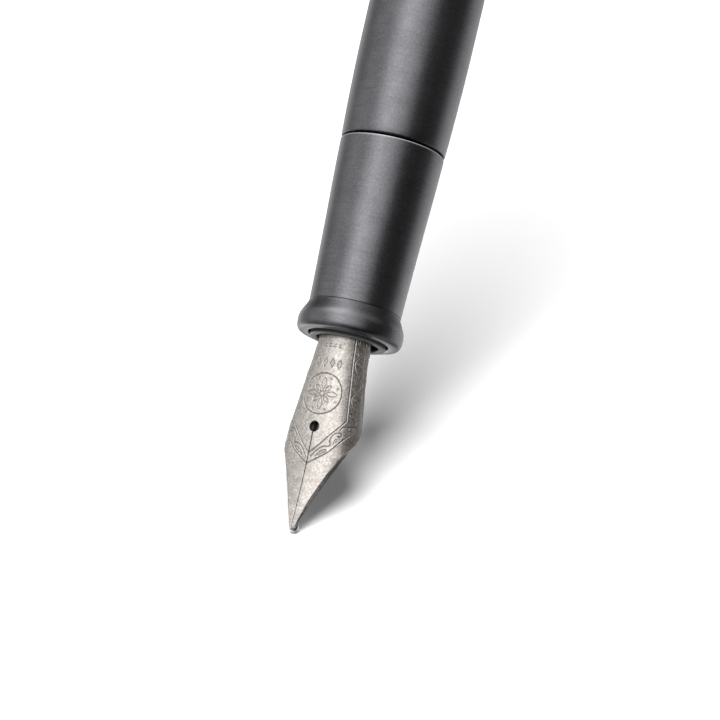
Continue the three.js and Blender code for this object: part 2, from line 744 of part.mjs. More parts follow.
add("nib", makeNib(), titanium);
add("tipping_left", makeTipping([-2, -SLIT_WIDTH / 2]), tippingAlloy);
add("tipping_right", makeTipping([SLIT_WIDTH / 2, 2]), tippingAlloy);
add("feed", makeFeed(), blackPlastic);
add("nib_housing", makeHousing(), blackPlastic);
add("grip_section", makeSection(), anodised);
add("section_o_ring", makeORing(), rubber);
add("barrel", makeBarrel(), anodised);
add("barrel_thread_sleeve", makeSleeve(), brass);
add("tail_plug", makeTailPlug(), anodised);
add("ink_tube", makeTube(), clear);
add("converter_ferrule", makeFerrule(), chrome);
add("guide_bush", makeBush(), greyPlastic);
add("retaining_ring", ring(SPINDLE_R + RUN, BUSH_R, RING_Z, STEPS.converter), chrome);
add("drive_spindle", makeSpindle(), greyPlastic);
add("twist_knob", makeKnob(), chrome);
add("piston_rod", makeRod(), greyPlastic);
add("piston_seal", makeSeal(), rubber);

export default group;
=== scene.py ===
"""A fountain pen without its cap, standing on its writing point, with a piston converter inside.

In the part's frame +Z runs along the pen from the writing point to the tail and the nib's
crown faces -Y. Mesh code works in millimetres and objects are made in metres. The parts keep
that frame, and the camera, floor and lights are turned to suit it.
"""
import math

import bpy
import numpy as np
from mathutils import Matrix, Vector
from mathutils.kdtree import KDTree


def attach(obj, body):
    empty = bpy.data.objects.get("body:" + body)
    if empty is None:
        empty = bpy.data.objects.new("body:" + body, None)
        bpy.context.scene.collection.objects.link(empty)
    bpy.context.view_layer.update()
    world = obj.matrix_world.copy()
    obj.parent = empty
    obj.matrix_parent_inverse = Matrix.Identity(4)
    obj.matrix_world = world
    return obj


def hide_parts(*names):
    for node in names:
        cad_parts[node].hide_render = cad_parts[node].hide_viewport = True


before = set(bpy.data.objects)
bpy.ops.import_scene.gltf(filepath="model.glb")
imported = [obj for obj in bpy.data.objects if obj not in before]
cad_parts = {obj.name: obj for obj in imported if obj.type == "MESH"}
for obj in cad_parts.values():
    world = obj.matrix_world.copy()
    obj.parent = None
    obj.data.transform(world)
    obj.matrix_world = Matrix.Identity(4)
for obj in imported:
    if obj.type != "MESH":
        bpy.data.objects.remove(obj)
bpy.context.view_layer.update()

MM = 0.001
PI = math.pi

# How the pen is seen: its axis leans right of upright, its front end tilts towards the
# camera, and it is rolled so that the nib's crown faces a little left.
LEAN, TILT, ROLL = math.radians(13.05), math.radians(11.0), math.radians(28.0)


# ------------------------------------------------------------------ curves
def pchip(xs, ys, x):
    """Monotone cubic through the points, which keeps the stations without overshoot."""
    widths = np.diff(xs)
    slopes = np.diff(ys) / widths
    tangents = np.zeros_like(ys)
    tangents[0], tangents[-1] = slopes[0], slopes[-1]
    for i in range(1, len(xs) - 1):
        if slopes[i - 1] * slopes[i] > 0:
            w1 = 2 * widths[i] + widths[i - 1]
            w2 = widths[i] + 2 * widths[i - 1]
            tangents[i] = (w1 + w2) / (w1 / slopes[i - 1] + w2 / slopes[i])
    k = np.clip(np.searchsorted(xs, x) - 1, 0, len(widths) - 1)
    t = np.clip((x - xs[k]) / widths[k], 0, 1)
    return hermite(t, ys[k], widths[k] * tangents[k], ys[k + 1], widths[k] * tangents[k + 1])


def hermite(t, start, start_slope, end, end_slope):
    return (
        (2 * t**3 - 3 * t**2 + 1) * start
        + (t**3 - 2 * t**2 + t) * start_slope
        + (-2 * t**3 + 3 * t**2) * end
        + (t**3 - t**2) * end_slope
    )


def station(table, column, z):
    """One column of a table of stations, whose first column is z."""
    return pchip(table[:, 0], table[:, column], z)


def catmull(xs, ys, x):
    """Catmull-Rom value at x through unevenly spaced points."""
    last = len(xs) - 1
    k = int(np.clip(np.searchsorted(xs, x) - 1, 0, last - 1))
    before, after = max(0, k - 1), min(last, k + 2)
    width = xs[k + 1] - xs[k]
    start_slope = (ys[k + 1] - ys[before]) / (xs[k + 1] - xs[before]) * width
    end_slope = (ys[after] - ys[k]) / (xs[after] - xs[k]) * width
    return hermite((x - xs[k]) / width, ys[k], start_slope, ys[k + 1], end_slope)


def smoothstep(x):
    x = np.clip(x, 0, 1)
    return x * x * (3 - 2 * x)


def window(z, start, end, fade):
    """1 between start and end, fading to 0 at both."""
    return np.clip((z - start) / fade, 0, 1) * np.clip((end - z) / fade, 0, 1)


# ------------------------------------------------------------------ mesh helpers
def build(node, body, slot, verts_mm, faces, sharp=38, attributes=None):
    """A finished piece from mesh data, riding on its body and standing for its CAD node."""
    name = f"{node}_visual"
    mesh = bpy.data.meshes.new(name)
    mesh.from_pydata((np.asarray(verts_mm, float) * MM).tolist(), [], faces)
    mesh.validate(clean_customdata=False)
    for key, values in (attributes or {}).items():
        layer = mesh.attributes.new(key, "FLOAT", "POINT")
        layer.data.foreach_set("value", np.asarray(values, np.float32))
    mesh.polygons.foreach_set("use_smooth", [True] * len(mesh.polygons))
    mesh.set_sharp_from_angle(angle=math.radians(sharp))
    mesh.update()
    piece = bpy.data.objects.new(name, mesh)
    bpy.context.scene.collection.objects.link(piece)
    mesh.materials.append(MATERIALS[slot])
    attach(piece, body)
    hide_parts(node)


def outward(verts, faces):
    """The faces, reversed if they enclose a negative volume. A sample of them is enough."""
    volume = 0.0
    for face in faces[:: max(1, len(faces) // 20000)]:
        p = verts[face]
        for i in range(1, len(face) - 1):
            volume += float(np.dot(p[0], np.cross(p[i], p[i + 1])))
    return [face[::-1] for face in faces] if volume < 0 else faces


def arc_corner(before, corner, after, radius, steps):
    """Points that round a corner, with the radius held back where the edges are short."""
    before, corner, after = (np.array(p[:2], float) for p in (before, corner, after))
    u, v = before - corner, after - corner
    u_length, v_length = np.linalg.norm(u), np.linalg.norm(v)
    u, v = u / u_length, v / v_length
    angle = math.acos(max(-1, min(1, float(u @ v))))
    if angle > PI - 0.05:
        return [corner]
    setback = min(radius / math.tan(angle / 2), 0.45 * u_length, 0.45 * v_length)
    radius = setback * math.tan(angle / 2)
    middle = u + v
    middle /= np.linalg.norm(middle)
    centre = corner + middle * (radius / math.sin(angle / 2))
    start, end = corner + u * setback - centre, corner + v * setback - centre
    sweep = PI - angle
    points = []
    for i in range(steps + 1):
        f = i / steps
        spoke = math.sin((1 - f) * sweep) * start + math.sin(f * sweep) * end
        points.append(centre + spoke / math.sin(sweep))
    return points


# An outline is a list of corners (radius, z, rounding, steps), where the last two may be left
# out. cut_edge and smooth_run make other rows of it.
CORNER_DEFAULTS = (0.0, 0.0, 0.0, 3, 1, None)  # radius, z, rounding, steps, cuts, shape


def cut_edge(radius, z, cuts, shape):
    """A corner whose leaving edge is cut finely and moved by shape(radii, z, theta)."""
    return (radius, z, 0.0, 1, cuts, shape)


def smooth_run(stations, count):
    """A smooth run of points through (radius, z), with z rising."""
    radii, heights = np.array(stations).T
    z = np.linspace(heights[0], heights[-1], count)
    return list(zip(pchip(heights, radii, z).tolist(), z.tolist()))


def outline_rows(outline, closed):
    """Every ring of a turned piece as (radius, z, shape)."""
    corners = [(*row, *CORNER_DEFAULTS[len(row):]) for row in outline]
    count = len(corners)
    rounded = []
    for i, (radius, z, rounding, steps, _, _) in enumerate(corners):
        inside = closed or 0 < i < count - 1
        points = [np.array([radius, z], float)]
        if rounding > 0 and inside:
            neighbours = corners[i - 1], corners[i], corners[(i + 1) % count]
            points = arc_corner(*neighbours, rounding, steps)
        rounded.append(points)
    rows = []
    for i, points in enumerate(rounded):
        cuts, shape = corners[i][4:]
        rows += [(p[0], p[1], None) for p in points[:-1]]
        last = points[-1]
        rows.append((last[0], last[1], shape))
        if i == count - 1 and not closed:
            break
        following = rounded[(i + 1) % count][0]
        for k in range(1, cuts):
            p = last + (following - last) * k / cuts
            rows.append((p[0], p[1], shape))
    return rows


def lathe(outline, segments, closed=True):
    """Vertices and faces of a turned solid. An open outline starts and ends on the axis."""
    theta = np.arange(segments) * 2 * PI / segments
    verts, rings = [], []
    for radius, z, shape in outline_rows(outline, closed):
        if radius < 1e-6:
            rings.append([len(verts)] * segments)
            verts.append((0.0, 0.0, z))
            continue
        radii = np.full(segments, radius)
        if shape:
            radii = shape(radii, z, theta)
        rings.append(list(range(len(verts), len(verts) + segments)))
        verts += list(zip(radii * np.cos(theta), radii * np.sin(theta), np.full(segments, z)))
    faces = []
    for i in range(len(rings) if closed else len(rings) - 1):
        a, b = rings[i], rings[(i + 1) % len(rings)]
        for j in range(segments):
            k = (j + 1) % segments
            loop = [a[j], a[k], b[k], b[j]]
            faces.append([v for n, v in enumerate(loop) if v != loop[n - 1]])
    verts = np.array(verts, float)
    return verts, outward(verts, faces)


def turned(node, body, slot, outline, segments, closed=True, sharp=38, marks=None):
    """Build a turned piece. marks(radius, z) gives its vertex attributes."""
    verts, faces = lathe(outline, segments, closed)
    attributes = marks(np.hypot(verts[:, 0], verts[:, 1]), verts[:, 2]) if marks else None
    build(node, body, slot, verts, faces, sharp, attributes)


def rim_highlight_share(radius, z, *rims):
    """Share of the painted rim highlight at each vertex: 1 on the rims, given as radius, z and
    width.
    """
    amount = np.zeros(len(radius))
    for rim_radius, rim_z, width in rims:
        distance_2 = (radius - rim_radius) ** 2 + (z - rim_z) ** 2
        amount = np.maximum(amount, np.exp(-distance_2 / width**2))
    return amount


# ------------------------------------------------------------------ node helpers
class Graph:
    """The emptied node tree of a material or world. Most methods return an output socket."""

    def __init__(self, owner):
        owner.use_nodes = True
        self.tree = owner.node_tree
        self.tree.nodes.clear()

    def node(self, kind, **settings):
        node = self.tree.nodes.new("ShaderNode" + kind)
        for key, value in settings.items():
            setattr(node, key, value)
        return node

    def put(self, socket, value):
        """Link a socket to another, or set it. A tuple is a colour without alpha."""
        if isinstance(value, bpy.types.NodeSocket):
            self.tree.links.new(value, socket)
        else:
            socket.default_value = (*value, 1) if isinstance(value, tuple) else value

    def ramp(self, factor, stops, **settings):
        """A colour ramp through stops of (position, colour)."""
        node = self.node("ValToRGB", **settings)
        elements = node.color_ramp.elements
        while len(elements) < len(stops):
            elements.new(0.5)
        for element, (position, colour) in zip(elements, stops):
            element.position = position
            element.color = (*colour, 1)
        self.put(node.inputs[0], factor)
        return node.outputs[0]

    def remap(self, factor, span, to):
        node = self.node("MapRange")
        for socket, value in zip(node.inputs[1:5], (*span, *to)):
            socket.default_value = value
        self.put(node.inputs[0], factor)
        return node.outputs[0]

    def math(self, operation, a, b, clamp=False):
        node = self.node("Math", operation=operation, use_clamp=clamp)
        self.put(node.inputs[0], a)
        self.put(node.inputs[1], b)
        return node.outputs[0]

    def dot(self, vector, direction):
        node = self.node("VectorMath", operation="DOT_PRODUCT")
        self.put(node.inputs[1], direction)
        self.put(node.inputs[0], vector)
        return node.outputs["Value"]

    def mix(self, factor, a, b):
        node = self.node("Mix", data_type="RGBA")
        for index, value in ((0, factor), (6, a), (7, b)):
            self.put(node.inputs[index], value)
        return node.outputs[2]


MATERIALS = {}  # by slot name


class Mat(Graph):
    """A material round one Principled BSDF, with texture coordinates in metres on the part."""

    def __init__(self, name, **values):
        MATERIALS[name] = bpy.data.materials.new(name)
        super().__init__(MATERIALS[name])
        self.bsdf = self.node("BsdfPrincipled")
        self.put(self.node("OutputMaterial").inputs[0], self.bsdf.outputs[0])
        self.coord = self.node("TexCoord").outputs["Object"]
        for key, value in values.items():
            self.to(key.replace("_", " "), value)

    def to(self, socket, value):
        self.put(self.bsdf.inputs[socket], value)

    def noise(self, scale, detail, rough, distortion=0.0, stretch=None):
        node = self.node("TexNoise")
        node.inputs["Scale"].default_value = scale
        node.inputs["Detail"].default_value = detail
        node.inputs["Roughness"].default_value = rough
        node.inputs["Distortion"].default_value = distortion
        source = self.coord
        if stretch:
            mapping = self.node("Mapping")
            mapping.inputs["Scale"].default_value = stretch
            self.put(mapping.inputs["Vector"], source)
            source = mapping.outputs[0]
        self.put(node.inputs["Vector"], source)
        return node.outputs["Fac"]

    def attr(self, name):
        return self.node("Attribute", attribute_name=name).outputs["Fac"]

    def tint(self, base, mask, span, amount, colour):
        """Mix a colour in by amount as the mask goes through span."""
        return self.mix(self.remap(mask, span, to=amount), base, colour)

    def mark(self, base, attribute, amount, colour):
        """Mix a colour in where a vertex attribute is high."""
        return self.mix(self.math("MULTIPLY", self.attr(attribute), amount, True), base, colour)

    def bump(self, height, distance, strength, normal=None):
        node = self.node("Bump")
        node.inputs["Strength"].default_value = strength
        node.inputs["Distance"].default_value = distance
        self.put(node.inputs["Height"], height)
        if normal is not None:
            self.put(node.inputs["Normal"], normal)
        return node.outputs[0]


# ------------------------------------------------------------------ materials
def make_titanium():
    """Matte blasted titanium: warm grey and mottled, with painted shade in the engraving and darker
    marks on the underside.
    """
    m = Mat("nib_titanium", Metallic=1.0)
    cloud = m.noise(scale=1300, detail=4, rough=0.62, distortion=0.4)
    fleck = m.noise(scale=4600, detail=4, rough=0.68, distortion=0.3)
    grain = m.noise(scale=8000, detail=3, rough=0.7)
    streak = m.noise(scale=2600, detail=3, rough=0.6, stretch=(1, 1, 0.25))
    base = m.ramp(cloud, [
        (0.32, (0.47, 0.432, 0.402)), (0.52, (0.605, 0.566, 0.530)), (0.70, (0.73, 0.695, 0.655)),
    ])
    for mask, span, amount, colour in (
        (fleck, (0.49, 0.61), 0.74, (0.36, 0.325, 0.30)),
        (fleck, (0.46, 0.36), 0.74, (0.93, 0.90, 0.86)),
        (grain, (0.42, 0.66), 0.55, (0.42, 0.385, 0.36)),
        (streak, (0.55, 0.75), 0.2, (0.80, 0.77, 0.74)),
        # painted shade in the engraving on the top skin; on the underside, the darkening round the
        # hole, along the slit and along the edge
        (m.attr("cut"), (0.15, 0.9), 0.66, (0.17, 0.15, 0.14)),
    ):
        base = m.tint(base, mask, span, (0.0, amount), colour)
    m.to("Base Color", base)
    texture = m.math("ADD", fleck, m.math("MULTIPLY", grain, 0.6))
    m.to("Roughness", m.remap(texture, span=(0.5, 1.1), to=(0.50, 0.38)))
    normal = m.bump(cloud, distance=2e-5, strength=0.22)
    normal = m.bump(fleck, distance=1.6e-5, strength=0.35, normal=normal)
    m.to("Normal", m.bump(grain, distance=1e-5, strength=0.6, normal=normal))


def make_tipping():
    m = Mat("tipping_alloy", Metallic=1.0)
    grain = m.noise(scale=9000, detail=2, rough=0.5)
    m.to("Base Color", m.ramp(grain, [(0.3, (0.62, 0.60, 0.58)), (0.7, (0.78, 0.77, 0.75))]))
    m.to("Roughness", m.remap(grain, span=(0.3, 0.7), to=(0.30, 0.20)))
    m.to("Normal", m.bump(grain, distance=4e-6, strength=0.3))


def make_anodised():
    """Satin dark grey anodising over a finely turned and blasted skin, with painted highlights on
    the rims and along the lip's crest, and painted shade in the mouth.
    """
    m = Mat("anodised_dark", Metallic=1.0, Anisotropic=0.4, Anisotropic_Rotation=0.25)
    m.to("Tangent", m.node("Tangent", direction_type="RADIAL", axis="Z").outputs[0])
    blast = m.noise(scale=4200, detail=3, rough=0.65)
    fine = m.noise(scale=12000, detail=2, rough=0.6)
    turning = m.noise(scale=5200, detail=3, rough=0.6, stretch=(0.06, 0.06, 1.0))
    tone = m.noise(scale=420, detail=3, rough=0.55)
    base = m.ramp(tone, [(0.3, (0.128, 0.128, 0.137)), (0.7, (0.158, 0.158, 0.168))])
    base = m.tint(base, blast, span=(0.42, 0.72), amount=(0, 0.42), colour=(0.27, 0.27, 0.285))
    base = m.tint(base, turning, span=(0.5, 0.75), amount=(0, 0.30), colour=(0.075, 0.075, 0.08))
    # painted highlight: lighter colour on the marked rims
    base = m.mark(base, "rub", amount=0.85, colour=(0.62, 0.62, 0.64))
    # painted highlight: lighter colour along the lip's crest
    base = m.mark(base, "crest", amount=0.5, colour=(0.30, 0.30, 0.312))
    # painted shade: the mouth's inner wall is made near black
    base = m.mark(base, "recess", amount=0.95, colour=(0.006, 0.006, 0.006))
    # less metallic under the painted rim highlight, so its light colour shows
    m.to("Metallic", m.remap(m.attr("rub"), span=(0.1, 0.9), to=(1.0, 0.35)))
    m.to("Base Color", base)
    texture = m.math("ADD", blast, m.math("MULTIPLY", fine, 0.5))
    rough = m.remap(texture, span=(0.5, 1.0), to=(0.27, 0.34))
    polish = m.math("MULTIPLY", m.attr("crest"), 0.07)
    m.to("Roughness", m.math("SUBTRACT", rough, polish))
    normal = m.bump(turning, distance=8e-6, strength=0.35)
    normal = m.bump(blast, distance=1e-5, strength=0.35, normal=normal)
    m.to("Normal", m.bump(fine, distance=4e-6, strength=0.4, normal=normal))


def make_black_plastic():
    """Satin black moulding, with painted highlights on its marked rims."""
    m = Mat("black_plastic", Metallic=0.0, IOR=1.6)
    grain = m.noise(scale=5200, detail=3, rough=0.6)
    tone = m.noise(scale=500, detail=2, rough=0.5)
    base = m.ramp(tone, [(0.3, (0.020, 0.020, 0.021)), (0.7, (0.032, 0.032, 0.034))])
    # painted highlight: lighter colour on the marked rims
    m.to("Base Color", m.mark(base, "rub", amount=0.9, colour=(0.62, 0.62, 0.63)))
    rough = m.remap(grain, span=(0.3, 0.7), to=(0.28, 0.42))
    # painted shade: the flange wall in the gap is roughened and reflects less, so it reads dark
    m.to("Roughness", m.math("ADD", rough, m.math("MULTIPLY", m.attr("dull"), 0.2)))
    m.to("Specular IOR Level", m.remap(m.attr("dull"), span=(0.0, 1.0), to=(0.5, 0.08)))
    m.to("Normal", m.bump(grain, distance=1e-5, strength=0.3))


def make_rubber():
    m = Mat("seal_rubber", Metallic=0.0, IOR=1.45)
    grain = m.noise(scale=4200, detail=4, rough=0.7)
    stops = [(0.3, (0.012, 0.012, 0.012)), (0.75, (0.026, 0.025, 0.024))]
    m.to("Base Color", m.ramp(grain, stops))
    m.to("Roughness", m.remap(grain, span=(0.3, 0.7), to=(0.62, 0.80)))
    m.to("Normal", m.bump(grain, distance=1.5e-5, strength=0.4))


def make_brass():
    m = Mat("sleeve_brass", Metallic=1.0)
    lines = m.noise(scale=2500, detail=3, rough=0.6, stretch=(0.05, 0.05, 6))
    tone = m.noise(scale=600, detail=3, rough=0.6)
    base = m.ramp(tone, [(0.3, (0.50, 0.355, 0.135)), (0.7, (0.66, 0.49, 0.215))])
    base = m.tint(base, lines, span=(0.55, 0.75), amount=(0, 0.35), colour=(0.34, 0.23, 0.09))
    m.to("Base Color", base)
    m.to("Roughness", m.remap(lines, span=(0.3, 0.7), to=(0.26, 0.40)))
    m.to("Normal", m.bump(lines, distance=1e-5, strength=0.35))


def make_plated():
    m = Mat("plated_metal", Metallic=1.0)
    lines = m.noise(scale=3000, detail=3, rough=0.6, stretch=(0.04, 0.04, 7))
    smear = m.noise(scale=420, detail=4, rough=0.6, distortion=0.6)
    m.to("Base Color", m.ramp(smear, [(0.3, (0.60, 0.61, 0.63)), (0.7, (0.73, 0.735, 0.75))]))
    line_rough = m.remap(lines, span=(0.3, 0.7), to=(0.10, 0.17))
    smear_rough = m.remap(smear, span=(0.5, 0.8), to=(0.0, 0.08))
    m.to("Roughness", m.math("ADD", line_rough, smear_rough))
    m.to("Normal", m.bump(lines, distance=4e-6, strength=0.3))


def make_grey_plastic():
    m = Mat("grey_plastic", Metallic=0.0, IOR=1.49)
    grain = m.noise(scale=5000, detail=3, rough=0.6)
    tone = m.noise(scale=450, detail=3, rough=0.5)
    m.to("Base Color", m.ramp(tone, [(0.3, (0.245, 0.255, 0.27)), (0.7, (0.30, 0.31, 0.325))]))
    m.to("Roughness", m.remap(grain, span=(0.3, 0.7), to=(0.34, 0.48)))
    m.to("Normal", m.bump(grain, distance=1e-5, strength=0.3))


def make_clear():
    """Water-clear moulding with faint flow lines and fine handling scratches."""
    m = Mat("clear_plastic", Metallic=0.0, IOR=1.49, Transmission_Weight=1.0)
    flow = m.noise(scale=300, detail=3, rough=0.5, distortion=0.8, stretch=(1, 1, 0.15))
    scratch = m.noise(scale=5200, detail=2, rough=0.5, stretch=(1, 1, 0.04))
    m.to("Base Color", m.ramp(flow, [(0.3, (0.90, 0.93, 0.95)), (0.7, (0.97, 0.98, 0.99))]))
    m.to("Roughness", m.remap(scratch, span=(0.55, 0.75), to=(0.03, 0.16)))
    m.to("Normal", m.bump(flow, distance=2e-5, strength=0.15))


make_titanium()
make_tipping()
make_anodised()
make_black_plastic()
make_rubber()
make_brass()
make_plated()
make_grey_plastic()
make_clear()

# ------------------------------------------------------------------ nib: cross sections
# z, radius of the round section, half its angle in degrees, height of the crown off the axis
NIB = np.array([
    (0.30, 5.4, 1.2, 3.07), (0.45, 5.3, 3.0, 3.085), (0.8, 6.5, 4.04, 3.09),
    (1.15, 8.0, 3.8, 3.085), (1.6, 9.5, 4.02, 3.07), (2.2, 12.21, 4.02, 3.05),
    (3.0, 9.84, 6.4, 3.03), (4.0, 6.31, 13.03, 3.01), (5.0, 6.06, 17.44, 3.0),
    (6.0, 6.63, 19.61, 3.0), (7.0, 6.74, 22.98, 3.02), (8.0, 7.2, 25.86, 3.05),
    (9.0, 7.0, 30.75, 3.1), (10.0, 6.04, 41.98, 3.15), (10.6, 5.52, 51.65, 3.18),
    (11.2, 5.27, 58.5, 3.23), (11.8, 5.15, 62.9, 3.24), (12.4, 5.07, 65.8, 3.25),
    (13.2, 4.9, 67.6, 3.26), (14.2, 4.7, 68.8, 3.26), (16.0, 4.37, 70.6, 3.26),
    (18.0, 4.01, 72.6, 3.26), (20.0, 3.63, 77.8, 3.26), (21.5, 3.42, 81.2, 3.26),
    (23.0, 3.28, 83.5, 3.26), (35.5, 3.28, 83.5, 3.26),
])
# z, how much further the underside reaches than the top along the arc: the edge is bevelled
BEVEL = np.array([
    (0.30, 0.0), (0.9, 0.05), (1.6, 0.10), (2.2, 0.15), (2.9, 0.21), (4.2, 0.31), (5.5, 0.37),
    (6.8, 0.42), (8.1, 0.42), (9.2, 0.40), (10.0, 0.30), (10.8, 0.18), (12.0, 0.11), (14.0, 0.08),
    (22.0, 0.05), (35.5, 0.04),
])
# Across, the sheet is flattened over the crown and turns down faster further out.
# z, half width of the flattened part
FLAT = np.array([
    (0.3, 0.4), (3.0, 1.0), (6.0, 1.9), (8.0, 2.3), (10.0, 2.6), (12.0, 2.6), (14.0, 2.15),
    (16.0, 1.8), (18.5, 1.4), (21.0, 1.2), (35.5, 1.2),
])
# z, how much of the flattening there is
FLATTEN = np.array([
    (0.3, 0.0), (2.5, 0.0), (6.0, 0.6), (9.0, 1.0), (18.5, 1.0), (20.6, 0.5), (22.2, 0.0),
    (35.5, 0.0),
])
FULL_FLATTENING = 0.66  # share of the crown's curvature that it takes away
SHEET = 0.35  # thickness
HOLE_Z, HOLE_R = 12.12, 0.6  # breather hole
SLIT_AT_HOLE = 0.05  # half width

CROSS_Z = np.concatenate([np.arange(0.3, 24.0, 0.15), np.array([24.0, 28.0, 32.0, 35.5])])
CROSS_T = np.linspace(0, 1.35, 109)  # places along a section, as shares of its half length
CROSS_EDGE = int(np.searchsorted(CROSS_T, 1.0 + 1e-9)) - 1  # where the share is 1


def nib_radius(z):
    return 1 / pchip(NIB[:, 0], 1 / NIB[:, 1], z)


def seen_right(x, sag, height):
    """How far right a point of the sheet is seen, with the nib rolled."""
    return x * math.cos(ROLL) - (height - sag) * math.sin(ROLL)


def seen_reach(x, sag, height):
    """How far right and left the sheet reaches as seen."""
    right = seen_right(x[CROSS_EDGE], sag[CROSS_EDGE], height)
    left = (x * math.cos(ROLL) + (height - sag) * math.sin(ROLL))[: CROSS_EDGE + 1]
    i = int(np.argmax(left))
    furthest = left[i]
    if 0 < i < CROSS_EDGE:
        # top of the parabola through the three furthest points
        p, q, r = left[i - 1], left[i], left[i + 1]
        furthest = q + (p - r) ** 2 / (8 * (2 * q - p - r) + 1e-12)
    return np.array([right, furthest])


def round_section(radius, half_length):
    """x and sag along a circular section."""
    angle = CROSS_T * half_length / radius
    return radius * np.sin(angle), radius * (1 - np.cos(angle))


def flattened_section(curvature, half_length, flat, crown_share):
    """x, sag and turn along a section whose crown has only a share of the curvature."""

    def running_sum(values):
        return np.concatenate([[0], np.cumsum(values)])

    arc = CROSS_T * half_length
    onset = smoothstep((arc - flat + 0.7) / 1.4)
    easing = smoothstep((arc - flat - 1.0) / 1.6)
    bend = curvature * (crown_share + (1 - crown_share) * onset * (1 - 0.75 * easing))
    step = np.diff(arc)
    turn = running_sum((bend[1:] + bend[:-1]) / 2 * step)
    middle = (turn[1:] + turn[:-1]) / 2
    return running_sum(np.cos(middle) * step), running_sum(np.sin(middle) * step), turn


def fit_section(ratios, radius, half_length, height, flat, crown_share):
    """Curvature and length ratios that give the flattened section the round one's reach."""
    target = seen_reach(*round_section(radius, half_length), height)

    def miss(bend, length):
        x, sag, _ = flattened_section(bend / radius, length * half_length, flat, crown_share)
        return seen_reach(x, sag, height) - target

    bend, length = ratios
    nudge = 1e-3
    for _ in range(60):
        error = miss(bend, length)
        if np.abs(error).max() < 2e-4:
            break
        by_bend = (miss(bend + nudge, length) - error) / nudge
        by_length = (miss(bend, length + nudge) - error) / nudge
        slope = np.array([by_bend, by_length]).T
        # damped least squares
        step = np.linalg.solve(slope.T @ slope + 0.02 * np.eye(2), -slope.T @ error)
        bend = float(np.clip(bend + np.clip(step[0], -0.08, 0.08), 0.3, 4.0))
        length = float(np.clip(length + np.clip(step[1], -0.03, 0.03), 0.8, 1.15))
    return bend, length


def evened(values, reach=12, sigma=4.0):
    """Gaussian smoothing with the end values held."""
    weights = np.exp(-((np.arange(-reach, reach + 1) / sigma) ** 2) / 2)
    weights /= weights.sum()
    ends = np.full(reach, values[0]), np.full(reach, values[-1])
    return np.convolve(np.concatenate([ends[0], values, ends[1]]), weights, "valid")


def cross_sections():
    """Tables with a row for each CROSS_Z; half and round_half are half lengths."""
    round_half = pchip(NIB[:, 0], NIB[:, 1] * np.radians(NIB[:, 2]), CROSS_Z)
    crown_share = 1 - FULL_FLATTENING * np.interp(CROSS_Z, FLATTEN[:, 0], FLATTEN[:, 1])
    sections = list(zip(
        nib_radius(CROSS_Z), round_half, station(NIB, 3, CROSS_Z), station(FLAT, 1, CROSS_Z),
        crown_share,
    ))
    fits, ratios = [], (1.0, 1.0)
    for section in sections:
        # each fit starts from the one before
        ratios = fit_section(ratios, *section) if section[-1] < 0.999 else (1.0, 1.0)
        fits.append(ratios)
    bends, lengths = (evened(np.array(column)) for column in zip(*fits))
    rows = []
    for (radius, old_half, height, flat, share), bend, length in zip(sections, bends, lengths):
        half = length * old_half
        x, sag, turn = flattened_section(bend / radius, half, flat, share)
        # where a point engraved on the round section lies along this one
        seen_old = seen_right(*round_section(radius, old_half), height)
        seen_new = seen_right(x, sag, height)
        rising = np.diff(seen_new) > 1e-6
        count = len(CROSS_T) if rising.all() else int(np.argmin(rising)) + 1
        moved = np.interp(seen_old, seen_new[:count], (CROSS_T * half)[:count])
        rows.append((half, x, sag, turn, moved))
    names = ("half", "x", "sag", "turn", "moved")
    tables = {name: np.array(column) for name, column in zip(names, zip(*rows))}
    return {**tables, "round_half": round_half}


CROSS = cross_sections()


def cross_at(name, share, z):
    """Bilinear look-up in a cross-section table, at a share of the half length."""
    table = CROSS[name]
    share, z = np.broadcast_arrays(np.asarray(share, float), np.asarray(z, float))
    j = np.clip(np.searchsorted(CROSS_Z, z) - 1, 0, len(CROSS_Z) - 2)
    z_part = np.clip((z - CROSS_Z[j]) / (CROSS_Z[j + 1] - CROSS_Z[j]), 0, 1)
    place = np.clip(share / CROSS_T[1], 0, len(CROSS_T) - 1.001)
    i = place.astype(int)
    part = place - i
    low = table[j, i] * (1 - part) + table[j, i + 1] * part
    high = table[j + 1, i] * (1 - part) + table[j + 1, i + 1] * part
    return low * (1 - z_part) + high * z_part


# ------------------------------------------------------------------ nib: engraving
# Strokes are drawn in (s, z), with s the arc length from the crown on the round section.
# A border band follows a V over the crown and then runs up the side. In it q goes 0..1 along
# the V and 1..2 up the side, and tau from -1 on the inner line to 1 on the outer one.
BAND_INNER = ((0.0, 42.0, 44.5), (9.1, 13.35, 23.7))  # degrees from the crown and z, at q 0, 1, 2
BAND_OUTER = ((0.0, 61.0, 68.0), (7.82, 12.95, 23.7))

